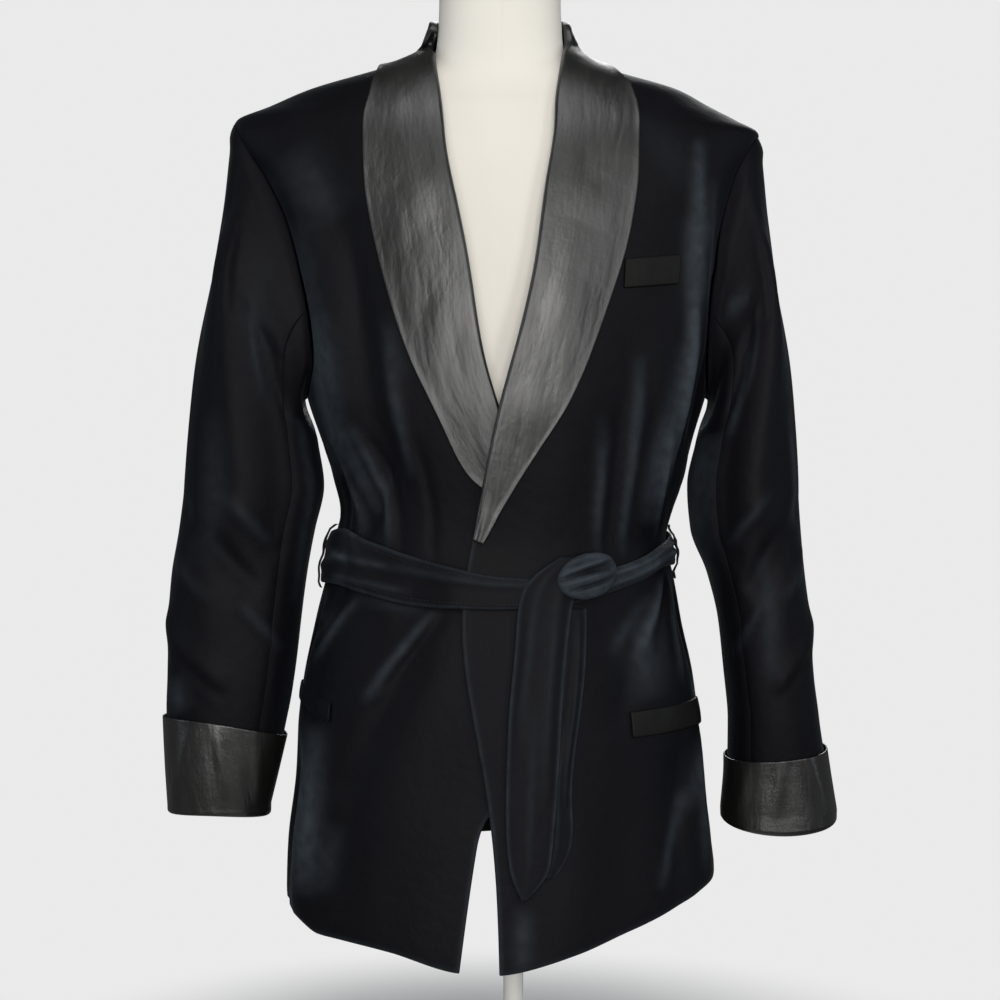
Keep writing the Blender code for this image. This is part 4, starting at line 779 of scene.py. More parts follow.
def shell(name, outer, inner, finish, wrap=False, flip=False, painted_highlight=0.0):
    """A closed wall of cloth between two grids of points, with rounded rims all round. It keeps its
    places in the cloth as a UV map and the strength of its painted highlight as an attribute."""
    rows, columns = outer.shape[:2]
    count = rows * columns
    first, last = lip(outer, inner, 0, 1), lip(outer, inner, -1, -2)
    flat = flat_places(outer, painted_highlight)
    points = [outer.reshape(-1, 3), inner.reshape(-1, 3), first, last]
    places = [flat.reshape(-1, 3), flat.reshape(-1, 3), flat[0], flat[-1]]
    outside = np.full((rows + 2, columns + 2), -1)
    outside[1:-1, 1:-1] = np.arange(count).reshape(rows, columns)
    outside[0, 1:-1] = 2 * count + np.arange(columns)
    outside[-1, 1:-1] = 2 * count + columns + np.arange(columns)
    if wrap:
        outside = joined(outside[:, 1:-1])
    else:
        turned_walls = outer.swapaxes(0, 1), inner.swapaxes(0, 1)
        left, right = lip(*turned_walls, 0, 1), lip(*turned_walls, -1, -2)
        corners = np.stack([
            first[0] + left[0], first[-1] + right[0], last[0] + left[-1], last[-1] + right[-1]
        ]) / 2
        ends = [0, 0, -1, -1], [0, -1, 0, -1]
        points += [left, right, corners]
        places += [flat[:, 0], flat[:, -1], flat[ends]]
        start = 2 * count + 2 * columns
        outside[1:-1, 0] = start + np.arange(rows)
        outside[1:-1, -1] = start + rows + np.arange(rows)
        outside[ends] = start + 2 * rows + np.arange(4)
    inside = outside.copy()
    inside[outside < count] += count
    faces = np.concatenate([quads(outside), quads(inside)[:, ::-1]])
    faces = (faces[:, ::-1] if flip else faces).tolist()
    made = mesh_piece(name, np.concatenate(points), faces, finish)
    mesh, places = made.data, np.concatenate(places).astype(np.float32)
    corners = np.empty(len(mesh.loops), np.int32)
    mesh.loops.foreach_get("vertex_index", corners)
    mesh.uv_layers.new(name="cloth").data.foreach_set("uv", places[corners, :2].ravel())
    # The attribute says how strongly the velvet's painted highlight shows at each point
    mesh.attributes.new("painted_highlight", "FLOAT", "POINT").data.foreach_set("value", places[:, 2].copy())
    return made


def to_hem(side, rows, angle, z):
    """A panel's angles and heights, with its lowest rows brought to the hem's line."""
    return angle, z + (hem_height(side, angle[:1]) - z[:1]) * (1 - ease(rows, 0.0, HEM_ROWS))


def front_patch(side, v, u):
    """Angles and heights of a front: from its front edge to the side seam and the armhole."""
    v, u = v[:, None], u[None, :]
    edge_angle, edge_z = front_edge(side, v)
    side_angle, side_z = smooth(side_line(side, "front"), v)
    side_angle = side_angle - side * math.degrees(SEAM_GAP / 2 / SIDE_RADIUS)
    angle = edge_angle + (side_angle - edge_angle) * u
    return to_hem(side, v, angle, edge_z + (side_z - edge_z) * u)


def back_patch(side, v, u):
    """Angles and heights of a back half, between the centre back seam, the line that ends at the
    neck point, and the side seam with the armhole."""
    v, u = v[:, None], u[None, :]
    seam = math.degrees(SEAM_GAP / 2 / BACK_RADIUS)
    hem = hem_height(side, side * 180.0)
    middle_angle = side * (180.0 - seam) + 0.0 * v
    middle_z = hem + (BACK_NECK_Z - hem) * v
    start_angle = side * BACK_NECK_LINE[0, 1]
    start = np.array([(0.0, start_angle, hem_height(side, start_angle))])
    neck_line = np.concatenate([start, mirrored(BACK_NECK_LINE[1:], side)])
    neck_angle, neck_z = smooth(neck_line, v)
    side_angle, side_z = smooth(side_line(side, "back"), v)
    neck_angle, side_angle = neck_angle + side * seam, side_angle + side * seam
    near = np.clip(u / NECK_SHARE, 0.0, 1.0)
    far = np.clip((u - NECK_SHARE) / (1 - NECK_SHARE), 0.0, 1.0)
    angle = middle_angle + (neck_angle - middle_angle) * near + (side_angle - neck_angle) * far
    return to_hem(side, v, angle, middle_z + (neck_z - middle_z) * near + (side_z - neck_z) * far)


def sew_in(made, node):
    """Hides the solid whose place a piece of cloth takes, and returns the piece."""
    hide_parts(node)
    return made


def body_panel(name, node, places, inside, lift, finish, flip, painted_highlight=0.0):
    """One velvet panel: a shell on the body surface with its creases, dips and rolled edges."""
    angle, z = places
    lift = inside + lift + velvet_lift(angle, z)
    outer, inner = cloth(angle, z, lift + VELVET_WALL), cloth(angle, z, lift)
    # Painted highlight of the panel: its crease crests and listed patches, plus any given for its
    # rims
    made = shell(name, outer, inner, finish, flip=flip, painted_highlight=body_painted_highlight(angle, z) + painted_highlight)
    return sew_in(made, node)


def make_fronts(velvet):
    """The two fronts. The wearer's left front stands a little off the body where it laps over."""
    rows, columns = FRONT_GRID
    for side, word in SIDES.items():
        angle, z = front_patch(side, spread(rows), spread(columns))
        edge, seam, hem, shoulder = edge_distances(cloth(angle, z, 0.0))
        inside = lap_lift(angle, z) if side > 0 else 0.0 * z
        lift = dip(seam) + dip(shoulder, SHOULDER_DIP) + dip(hem, HEM_DIP, HEM_BREADTH)
        # Painted highlight along the front's edge and its hem: a lighter velvet colour on these rims
        rim = 0.35 * bell(edge, 0.0022) + 0.25 * bell(hem, 0.0025)
        body_panel(
            f"velvet_front_{word}", f"front_{word}", (angle, z), inside, lift, velvet, side < 0, rim
        )


def make_backs(velvet):
    """The two back halves, with the centre back seam between them."""
    rows, columns = BACK_GRID
    for side, word in SIDES.items():
        angle, z = back_patch(side, spread(rows), spread(columns))
        middle, seam, hem, shoulder = edge_distances(cloth(angle, z, 0.0))
        lift = dip(middle) + dip(seam) + dip(shoulder, SHOULDER_DIP)
        lift = lift + dip(hem, HEM_DIP, HEM_BREADTH)
        body_panel(f"velvet_back_{word}", f"back_{word}", (angle, z), 0.0, lift, velvet, side > 0)


# Start and end of each sleeve piece round the arm, and its columns
SLEEVE_SPANS = {"sleeve_top": (-122.0, 128.0, 96), "sleeve_under": (128.0, 238.0, 46)}
SLEEVE_LENGTH = 0.60


def sleeve_crease(around, along):
    """The finer creases of a sleeve, from their table."""
    table = scaled(SLEEVE_CREASES, SLEEVE_TURN, SLEEVE_LENGTH)
    return line_lift(table, (around % 360.0) * SLEEVE_TURN, along * SLEEVE_LENGTH)


def sleeve_lift(around, along):
    """Creases and slow unevenness of a sleeve, and the rope that its head forms at the armhole."""
    strength = bpy.context.scene.jacket_cloth.crease_strength
    crease = sleeve_crease(around, along) * strength
    body = ease(along, 0.03, 0.12) * (1 - ease(along, 0.80, 0.86))
    down = along * SLEEVE_LENGTH
    slow = uneven(around * SLEEVE_TURN, down, 0.0008)
    high = (1 + np.cos(np.radians(around))) / 2
    rope = 0.0016 * high * bell(down - 0.010, 0.006)
    return (crease + slow) * body + rope + dip(down, 0.0012, 0.003)


def sleeve_painted_highlight(side, around, along):
    """How strong a sleeve's painted highlight is: on its crease crests and in the listed patches."""
    table = scaled(SLEEVE_PAINTED_HIGHLIGHTS[SLEEVE_PAINTED_HIGHLIGHTS[:, 0] == side, 1:], SLEEVE_TURN, SLEEVE_LENGTH)
    painted_patches = line_lift(table, (around % 360.0) * SLEEVE_TURN, along * SLEEVE_LENGTH)
    return painted_patches + 0.5 * painted_ridge_highlight(sleeve_crease(around, along))


def sleeve_sheet(side, around, along, out):
    """The sleeve's surface moved out along its normal, starting in line with the armhole's edge."""
    around, along = np.broadcast_arrays(np.asarray(around, float), np.asarray(along, float))
    here = sleeve_point(side, around, along)
    turn = sleeve_point(side, around + 1.0, along) - sleeve_point(side, around - 1.0, along)
    down = sleeve_point(side, around, np.minimum(along + 0.004, 1.0))
    down = down - sleeve_point(side, around, np.maximum(along - 0.004, 0.0))
    normal = unit(np.cross(turn, down) * side)
    share = (1 - ease(along, 0.0, 0.05))[..., None]
    normal = unit(normal * (1 - share) + base_normal(*armhole_loop(side, around)) * share)
    away = (out + sleeve_fold_height(around, along) + sleeve_lift(around, along))[..., None]
    return here + normal * away


def make_sleeves(velvet):
    """Each sleeve is a top piece and an under piece, joined by two seams that run down the arm."""
    gap = SEAM_GAP / SLEEVE_TURN
    along = spread(SLEEVE_ROWS)[:, None]
    for side, word in SIDES.items():
        for part, (start, end, columns) in SLEEVE_SPANS.items():
            around = (start + gap + (end - start - 2 * gap) * spread(columns))[None, :]
            near = np.minimum(around - start, end - around) * SLEEVE_TURN
            seam = dip(near, 0.0009, 0.003) * ease(along, 0.02, 0.08)
            outer = sleeve_sheet(side, around, along, seam)
            inner = sleeve_sheet(side, around, along, seam - VELVET_WALL)
            # Painted highlight of the sleeve: its listed patches and its crease crests
            painted_highlight = sleeve_painted_highlight(side, around, along)
            made = shell(f"velvet_{part}_{word}", outer, inner, velvet, flip=side < 0, painted_highlight=painted_highlight)
            sew_in(made, f"{part}_{word}")


# Cuff creases: angle round the cuff and height above the rim at each end, half breadth, rise
CUFF_CREASES = np.array([
    (40, 0.01, 62, 0.075, 0.007, 0.0016), (100, 0.02, 88, 0.08, 0.006, 0.0014),
    (140, 0.01, 128, 0.06, 0.006, 0.0013), (-20, 0.015, -8, 0.07, 0.007, 0.0014),
    (210, 0.012, 222, 0.07, 0.0065, 0.0015), (260, 0.02, 252, 0.075, 0.0065, 0.0014),
    (300, 0.01, 316, 0.06, 0.006, 0.0014),
])
# Radius of the turn at the rim, and how far in its centre lies
CUFF_TURN_RADIUS = 0.0030
CUFF_TURN_CENTRE = 0.00105


def cuff_path(outside):
    """The cuff's profile from its top edge down, round the rim and up inside, as the share of the
    way from the rim to the top, the rise above that and the distance out from the sleeve."""
    radius = 0.00315 if outside else 0.00155
    drop = CUFF_TURN_RADIUS if outside else CUFF_TURN_RADIUS - 0.0016
    share = np.concatenate([[1.0, 0.992], np.linspace(0.97, 0.04, 34)])
    face = (0.0021 if outside else 0.0005) + 0.0015 * share
    turn = np.linspace(0.0, math.pi, 15)
    bend = CUFF_TURN_RADIUS - drop * np.sin(turn), radius * np.cos(turn) - CUFF_TURN_CENTRE
    inside = np.linspace(CUFF_TURN_RADIUS, CUFF_TURN_IN, 8)[1:]
    back = -CUFF_TURN_CENTRE - radius - 0.02 * (inside - CUFF_TURN_RADIUS)
    return np.concatenate([
        np.column_stack([share, 0.0 * share, face]),
        np.column_stack([0.0 * turn, *bend]),
        np.column_stack([0.0 * inside, inside, back]),
    ])


def make_cuffs(satin):
    """Turned-back satin cuffs: a tube that folds inwards at the rim."""
    around = np.linspace(0.0, 360.0, CUFF_COLUMNS, endpoint=False)[None, :]
    table = scaled(CUFF_CREASES, SLEEVE_TURN)
    for side, word in SIDES.items():
        heights = (LEFT_SLEEVE if side < 0 else RIGHT_SLEEVE)[:, 0]
        rim, top = (quarter_mix(CUFFS[side][line], around) for line in ("rim", "top"))
        sheets = []
        for outside in (True, False):
            path = cuff_path(outside)
            z = rim + (top - rim) * path[:, :1] + path[:, 1:2]
            down = (heights[0] - z) / (heights[0] - heights[-1])
            along = np.clip(CROWN_SHARE + (1 - CROWN_SHARE) * down, 0.0, 1.0)
            ring = sleeve_ring(side, z, around)
            radial = unit((ring - ring.mean(axis=1, keepdims=True)) * np.array([1.0, 1.0, 0.0]))
            crease = sum(
                line_lift(table, (around - back) * SLEEVE_TURN, z - rim) for back in (0.0, 360.0)
            )
            face = (path[:, :1] > 0) * ease(z - rim, 0.004, 0.016)
            out = path[:, 2:] + crease * face + sleeve_fold_height(around, along)
            sheets.append(ring + radial * out[..., None])
        made = shell(f"satin_cuff_{word}", *sheets, satin, wrap=True, flip=side < 0)
        sew_in(made, f"cuff_{word}")


# The collar's roll: centre of its bend before the fold and above the panel, and its half heights
ROLL_CENTRE = 0.0012
ROLL_OUTER = (0.0035, 0.0037)
ROLL_INNER = (0.0019, 0.0021)
# Rows on each side over which the collar is evened out
EVENED_ROWS = 12


def collar_path(outside):
    """The collar's profile across: under the panel's edge, round the fold and out over the panel,
    as the share of its width, the distance from the fold and the height above the panel."""
    reach, rise = ROLL_OUTER if outside else ROLL_INNER
    bend = np.linspace(-math.pi / 2, math.pi / 2, 13)
    roll = ROLL_CENTRE - reach * np.cos(bend), ROLL_CENTRE + rise * np.sin(bend)
    under = np.linspace(0.0080, 0.0022, 5)
    over = np.concatenate([np.linspace(0.06, 0.97, 36), [0.99, 1.0]])
    return np.concatenate([
        np.column_stack([0.0 * under, under, 0.0 * under + ROLL_CENTRE - rise]),
        np.column_stack([0.0 * bend, *roll]),
        np.column_stack([over, 0.0 * over, ROLL_CENTRE + rise - 0.0006 * over]),
    ])


def padded(rows, count):
    """The rows with the first and the last one repeated a number of times beyond each end."""
    first, last = (np.repeat(row, count, axis=0) for row in (rows[:1], rows[-1:]))
    return np.concatenate([first, rows, last])


def evened(points):
    """The same grid with each column's path evened out where it bends over the shoulder's front."""
    reach = EVENED_ROWS
    weights = bell(np.arange(-reach, reach + 1), reach / 2)
    weights = weights / weights.sum()
    wide = padded(points, reach)
    mean = sum(weight * wide[k:k + len(points)] for k, weight in enumerate(weights))
    z = points[..., 2:]
    share = ease(z, 0.775, 0.800) * (1 - ease(z, 0.893, 0.906))
    return points + (mean - points) * share


def make_collar(satin):
    """The satin shawl collar in two halves, joined at the centre back."""
    limit = 180.0 - math.degrees(SEAM_GAP / 2 / NECK_RADIUS)
    for side, word in SIDES.items():
        first = (LEFT_LAPEL if side < 0 else RIGHT_LAPEL)[0, 0]
        row = (first + (NECK_HEM[-1, 0] - first) * spread(COLLAR_ROWS, 0.001))[:, None]
        fold_angle, fold_z = fold_line(side, row)
        edge_angle, edge_z = collar_hem(side, row)
        fold_angle, edge_angle = (np.clip(a, -limit, limit) for a in (fold_angle, edge_angle))
        width = base_point(edge_angle, edge_z) - base_point(fold_angle, fold_z)
        width = np.linalg.norm(width, axis=-1)
        shoulder = ease(fold_z, 0.80, 0.87)
        sheets = []
        for outside in (True, False):
            path = collar_path(outside)
            share = path[None, :, 0] + path[None, :, 1] / np.maximum(width, 0.018)
            angle = fold_angle + (edge_angle - fold_angle) * share
            z = fold_z + (edge_z - fold_z) * share
            across = np.clip(share, 0.0, 1.0)
            arch = np.sin(np.pi * across)
            puff = NECK_PUFF * ease(z, 0.886, 0.903) * arch**1.5
            ripple = 0.0009 * np.sin(2 * np.pi * (row * 9.0 + across * 0.6)) * arch**2
            rolled = 0.0006 * bell((1 - across) * width, 0.003)
            out = path[None, :, 2] + SHOULDER_ROOM * shoulder * across + puff + rolled
            out = out + np.maximum(ripple, 0.0) + (lap_lift(angle, z) if side > 0 else 0.0)
            sheets.append(evened(cloth(angle, z, out)))
        made = shell(f"satin_collar_{word}", *sheets, satin, flip=side < 0)
        sew_in(made, f"collar_{word}")


# Lengthwise folds of the belt: angle and share of its height at each end, half breadth, rise
BELT_CREASES = np.array([
    (-88, 0.3, -40, 0.62, 0.0045, 0.0022), (-84, 0.75, -58, 0.5, 0.004, 0.0018),
    (-60, 0.1, -34, 0.24, 0.004, 0.002), (30, 0.3, 86, 0.38, 0.0036, 0.003),
    (34, 0.78, 84, 0.76, 0.0034, 0.0028), (-30, 0.7, 10, 0.84, 0.005, 0.0014),
    (100, 0.3, 150, 0.45, 0.005, 0.0016), (-150, 0.62, -100, 0.4, 0.005, 0.0016),
])


def belt_height(angle, share):
    """The belt's height at an angle, for a share of the way from its lower to its upper edge."""
    top, bottom = smooth(BELT, angle)
    return bottom + (top - bottom) * share


def belt_lift(angle, z):
    """Lengthwise folds of the belt, only ever outwards."""
    lift = np.zeros(np.broadcast(angle, z).shape)
    for angle_a, share_a, angle_b, share_b, breadth, rise in BELT_CREASES:
        middle = np.clip((angle - angle_a) / (angle_b - angle_a), 0.0, 1.0)
        line = belt_height(angle, share_a + (share_b - share_a) * middle)
        beyond = np.maximum(np.maximum(angle_a - angle, angle - angle_b), 0.0) * BODY_TURN
        lift = lift + rise * bell(z - line, breadth) * bell(beyond, 0.012)
    return lift


def belt_face(angle, share):
    """Height on the belt and, from the body surface, how far out its back and its face lie: over
    the lap, and thinner at its edges."""
    z, middle = belt_height(angle, share), belt_height(angle, 0.5)
    fold = np.maximum(fold_height(angle, middle) - fold_height(angle, z), 0.0)
    seat = belt_seat(angle, middle) + fold
    thick = BELT_WALL * (0.55 + 0.45 * (1 - np.abs(2 * share - 1) ** 5))
    arch = np.sin(np.pi * np.clip(share, 0, 1)) ** 0.5
    return z, seat, seat + thick + belt_lift(angle, z) * arch


def make_belt(velvet):
    """The belt, one band round the waist."""
    rows, columns = BELT_GRID
    angle = np.linspace(-180.0, 180.0, columns, endpoint=False)[None, :]
    share = spread(rows, 0.01)[:, None]
    z, seat, face = belt_face(angle, share)
    # Painted highlight on the belt: on its crease crests, along both edges and in two patches in
    # front
    painted_crests = painted_ridge_highlight(belt_lift(angle, z)) + 0.32 * bell(np.minimum(share, 1 - share), 0.05)
    painted_patches = 0.40 * ease(angle, 20.0, 40.0) * (1 - ease(angle, 70.0, 84.0))
    painted_patches = (painted_patches + 0.25 * bell(angle + 56.0, 9.0)) * (0.4 + 0.6 * share)
    outer, inner = cloth(angle, z, face), cloth(angle, z, seat)
    made = shell("velvet_belt", outer, inner, velvet, wrap=True, painted_highlight=painted_crests + painted_patches)
    sew_in(made, "belt")


# Lengthwise folds of a tail: share of its width and of its length at each end, half breadth, rise
TAIL_CREASES = np.array([
    (0.3, 0, 0.2, 0.55, 0.14, 0.0018), (0.72, 0.05, 0.8, 0.7, 0.12, 0.002),
    (0.5, 0.45, 0.46, 0.95, 0.14, 0.0014),
])


def tail_sheets(table, seat, thick):
    """A hanging end of the belt: it clears the highest fold below it, with soft folds of its own."""
    rows, columns = TAIL_GRID
    v, u = spread(rows, 0.002)[:, None], spread(columns, 0.012)[None, :]
    z = table[0, 0] + (table[-1, 0] - table[0, 0]) * v
    left, right = spline(table[::-1], z)
    z = z + 0 * u
    angle = angle_at(left + (right - left) * u, z)
    fold = fold_height(angle, z)
    level = np.maximum(fold.max(axis=1, keepdims=True), 0.0)
    inner = seat + LAP_LIFT + level - fold
    crease = line_lift(TAIL_CREASES, u, v) * ease(v, 0.0, 0.06)
    edge = 0.55 + 0.45 * (1 - np.abs(2 * u - 1) ** 7)
    arch = np.sin(np.pi * u)
    return angle, z, inner, inner + thick * edge + TAIL_CROWN * arch + crease * arch**0.7


def make_tails(velvet):
    """The two hanging ends of the belt, one in front of the other."""
    on_belt = VELVET_WALL + BELT_STAND_OFF + BELT_WALL + LAYER_GAP
    tails = {
        "front": (FRONT_TAIL, on_belt, FRONT_TAIL_WALL),
        "rear": (REAR_TAIL, VELVET_WALL + LAYER_GAP, REAR_TAIL_WALL),
    }
    for word, tail in tails.items():
        angle, z, inner, outer = tail_sheets(*tail)
        face = cloth(angle, z, outer)
        # Painted highlight on the tail: along its long edges and on its crease crests
        painted_crests = painted_ridge_highlight(outer - outer.min(axis=1, keepdims=True) - 0.0015)
        painted_highlight = 0.55 * long_rims(face, 0.0022) + 0.5 * painted_crests
        back = cloth(angle, z, inner)
        made = shell(f"velvet_tail_{word}", face, back, velvet, flip=True, painted_highlight=painted_highlight)
        sew_in(made, f"belt_tail_{word}")


# Folds of the knot, in shares of its size: places along and across it at each end, half breadth
# and, in metres, rise
KNOT_CREASES = np.array([
    (-0.95, 0.35, 0.95, 0.2, 0.13, -0.0052), (-0.8, -0.35, 0.8, -0.42, 0.12, -0.0046),
    (-0.1, 0.15, 0.95, -0.02, 0.1, -0.003), (-0.6, 0.8, 0.45, 0.72, 0.1, -0.0028),
    (-0.9, -0.02, 0.2, 0, 0.11, 0.0022), (-0.3, 0.55, 0.9, 0.46, 0.1, 0.002),
])


def make_knot(velvet):
    """The knot: a tilted wrap over the top of the front tail, whose folds run up to the right."""
    centre_x, centre_z, half_length, half_breadth, tilt, bulge = KNOT
    lean, climb = math.cos(math.radians(tilt)), math.sin(math.radians(tilt))
    across = 2 * spread(KNOT_ROWS) - 1
    u, v = across[None, :], across[:, None]
    square_x, square_z = u * np.sqrt(1 - v * v / 2), v * np.sqrt(1 - u * u / 2)
    length, breadth = half_length * square_x, half_breadth * square_z
    z = centre_z + climb * length + lean * breadth
    angle = angle_at(centre_x + lean * length - climb * breadth, z)
    radius = np.clip(square_x**2 + square_z**2, 0.0, 1.0)
    seat = knot_seat(angle, z)
    round_up = np.sqrt(1 - radius * 0.999)
    crease = line_lift(KNOT_CREASES, square_x, square_z)
    out = seat + KNOT_RIM + bulge * round_up + crease * np.sqrt(round_up)
    # Painted highlight over the knot, weaker in its troughs and stronger on its ridges
    painted_highlight = np.clip(1.0 + crease / 0.0060, 0.1, 1.2)
    made = shell("velvet_knot", cloth(angle, z, out), cloth(angle, z, seat), velvet, painted_highlight=painted_highlight)
    sew_in(made, "belt_knot")


# Half the angle that a loop spans, and the rows over which it steps down from the belt
LOOP_HALF_ANGLE = 2.6
LOOP_STEP_ROWS = 6


def loop_surface(middle, low, high):
    """Angles, heights and distance out of a loop: it lies on the belt's face, and above and below
    the belt it comes down to the velvet. The steps between are rounded off."""
    v, u = spread(60)[:, None], spread(12, 0.03)[None, :]
    angle = middle + LOOP_HALF_ANGLE * (2 * u - 1) + 0 * v
    z = low + (high - low) * v + 0 * u
    top, bottom = smooth(BELT, angle)
    share = (z - bottom) / (top - bottom)
    face = belt_face(angle, np.clip(share, 0.0, 1.0))[2]
    beside = VELVET_WALL + velvet_lift(angle, z)
    seat = np.where((share > -0.05) & (share < 1.05), face, beside) + SEAM_GAP
    wide, count = padded(seat, LOOP_STEP_ROWS), len(seat)
    spans = range(LOOP_STEP_ROWS + 1)
    raised = np.max([wide[k:k + count + LOOP_STEP_ROWS] for k in spans], axis=0)
    return angle, z, np.mean([raised[k:k + count] for k in spans], axis=0)


def make_loops(velvet):
    """Belt loops: narrow strips that stand over the belt and are sewn down above and below it."""
    for name, *place in LOOPS:
        angle, z, seat = loop_surface(*place)
        back, face = cloth(angle, z, seat), cloth(angle, z, seat + LOOP_WALL)
        # Painted highlight along the loop's long edges
        painted_highlight = 0.3 * long_rims(back, 0.0015)
        made = shell(f"velvet_{name}", face, back, velvet, painted_highlight=painted_highlight)
        sew_in(made, name)


def welt_seat(angle, z):
    """How far out the back of a welt lies: on the velvet, and on the lap at the wearer's left."""
    lap = lap_lift(angle, z) * (angle > 0)
    return VELVET_WALL + LAYER_GAP + lap + velvet_lift(angle, z)


def make_welts(finishes):
    """Pocket welts, each a narrow strip that stands on its front."""
    for name, finish, start, z_start, end, z_end, deep in WELTS:
        u, v = spread(70)[None, :], (spread(22, 0.02) - 0.5)[:, None]
        angle = start + (end - start) * u + 0 * v
        z = z_start + (z_end - z_start) * u + deep * v
        seat = welt_seat(angle, z)
        face = seat + WELT_WALL + 0.0006 * np.sin(np.pi * (v + 0.5)) ** 0.5
        dressed = finishes["satin_welt" if finish == "satin" else finish]
        made = shell(f"{finish}_{name}", cloth(angle, z, face), cloth(angle, z, seat), dressed)
        sew_in(made, name)


# Sewing thread: radius, and length and spacing of its edge stitches and its bar tacks
THREAD_RADIUS = 0.00022
STITCH_LENGTH = 0.0024
STITCH_PITCH = 0.0034
TACK_LENGTH = 0.0010
TACK_PITCH = 0.0011
# Rings of a stitch: place along it, thickness and height above the cloth, in thread radii
STITCH_RINGS = np.array([
    (0, 0.15, -0.6), (0.22, 0.9, 0.25), (0.5, 1, 0.6), (0.78, 0.9, 0.25), (1, 0.15, -0.6),
])
# Where the belt's edge stitching runs, as shares of its height
BELT_STITCH_SHARES = (0.12, 0.88)


def stitches(name, lines, finish, pitch=STITCH_PITCH, length=STITCH_LENGTH):
    """Rows of stitches: each stitch is a thin spindle that rises out of the cloth and goes back in.
    A line is its points and the outward direction at each of them."""
    share, girth, rise = STITCH_RINGS.T
    turn = np.linspace(0.0, 2 * np.pi, 6, endpoint=False)[:, None]
    points, faces, start = [], [], 0
    for path, up in lines:
        reach = np.cumsum(np.linalg.norm(np.diff(path, axis=0), axis=1))
        reach = np.insert(reach, 0, 0.0)
        begin = np.arange(0.5 * (pitch - length), reach[-1] - length, pitch)[:, None]
        centre, out = (
            np.stack([np.interp(begin + length * share, reach, line[:, k]) for k in range(3)], -1)
            for line in (path, up)
        )
        out = unit(out)
        beside = unit(np.cross(centre[:, -1:] - centre[:, :1], out))
        centre = centre + out * (THREAD_RADIUS * rise[:, None])
        spoke = out[:, :, None] * np.sin(turn) + beside[:, :, None] * np.cos(turn)
        tube = centre[:, :, None] + (THREAD_RADIUS * girth)[:, None, None] * spoke
        shape = tube.shape[:3]
        index = start + np.arange(math.prod(shape)).reshape(shape)
        beyond = np.roll(index, -1, axis=2)
        sides = index[:, :-1], index[:, 1:], beyond[:, 1:], beyond[:, :-1]
        faces += np.stack(sides, axis=-1).reshape(-1, 4).tolist()
        faces += index[:, 0].tolist() + index[:, -1, ::-1].tolist()
        points.append(tube.reshape(-1, 3))
        start += math.prod(shape)
    made = mesh_piece(name, np.concatenate(points), faces, finish)


def sewn_line(angle, z, out):
    """A line of points on the cloth with the outward direction at each, for a row of stitches."""
    angle, z, out = np.broadcast_arrays(angle, z, out)
    return cloth(angle, z, out), base_normal(angle, z)


def make_sewing(thread):
    """Edge stitching on the belt and its ends, and bar tacks on the loops and the pocket welts."""
    angle = np.linspace(-180.0, 180.0, 500)
    lines = []
    for share in BELT_STITCH_SHARES:
        z, _, face = belt_face(angle, share + 0.0 * angle)
        lines.append(sewn_line(angle, z, face))
    stitches("stitching_belt", lines, thread)
    lines = []
    for _, *place in LOOPS:
        angle, z, seat = loop_surface(*place)
        for row in (3, -4):
            lines.append(sewn_line(angle[row], z[row], seat[row] + LOOP_WALL))
    for _, _, start, z_start, end, z_end, deep in WELTS:
        for share in (0.03, 0.97):
            z = z_start + (z_end - z_start) * share + np.linspace(-0.42, 0.42, 12) * deep
            angle = start + (end - start) * share + 0.0 * z
            lines.append(sewn_line(angle, z, welt_seat(angle, z) + WELT_WALL))
    stitches("stitching_tacks", lines, thread, TACK_PITCH, TACK_LENGTH)


# Seams of the form's cover: angles of the upright ones, and heights of the neck's one in front
# and behind
FORM_SEAMS = (0.0, 90.0, 180.0, 270.0)
NECK_SEAM = (0.8640, 0.8830)


def form_surface(z, turn):
    """The dress form: boxy ellipses at each height, drawn in where its cover is seamed."""
    half, front, back = smooth(FORM_SECTIONS, z)
    angle = np.radians(turn)
    reach = np.where(np.cos(angle) > 0, front, back)
    boxy = 1 + 0.03 * np.sin(2 * angle) ** 2
    groove = np.zeros(np.broadcast(z, turn).shape)
    for seam in FORM_SEAMS:
        away = np.abs((turn - seam + 180.0) % 360.0 - 180.0) * math.radians(1.0) * half
        groove = groove + 0.0006 * bell(away, 0.0012)
    low, high = NECK_SEAM
    ring = (low + high) / 2 - (high - low) / 2 * np.cos(angle)
    groove = groove + 0.0007 * bell(z - ring, 0.0012)
    size = boxy * (1 - groove / half)
    return np.stack(np.broadcast_arrays(
        half * np.sin(angle) * size, -reach * np.cos(angle) * size, z
    ), axis=-1)


def closed_loft(name, rings, finish, node):
    """A closed solid through rings of points, capped by a fan at each end, in place of a node."""
    rows, columns = rings.shape[:2]
    index = joined(np.arange(rows * columns).reshape(rows, columns))
    tips = np.full(columns, rows * columns)
    bottom = np.column_stack([index[0, 1:], index[0, :-1], tips])
    top = np.column_stack([index[-1, :-1], index[-1, 1:], tips + 1])
    points = [rings.reshape(-1, 3), rings[:1].mean(axis=1), rings[-1:].mean(axis=1)]
    faces = quads(index).tolist() + bottom.tolist() + top.tolist()
    made = mesh_piece(name, np.concatenate(points), faces, finish)
    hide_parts(node)


def make_form(linen):
    """The dress form, smooth and whole, in its linen cover."""
    top, bottom = FORM_SECTIONS[-1, 0], FORM_SECTIONS[0, 0]
    z = bottom + (top - bottom) * spread(250, 0.0008)[:, None]
    turn = np.linspace(0.0, 360.0, 216, endpoint=False)[None, :]
    closed_loft("linen_dress_form", form_surface(z, turn), linen, "dress_form")


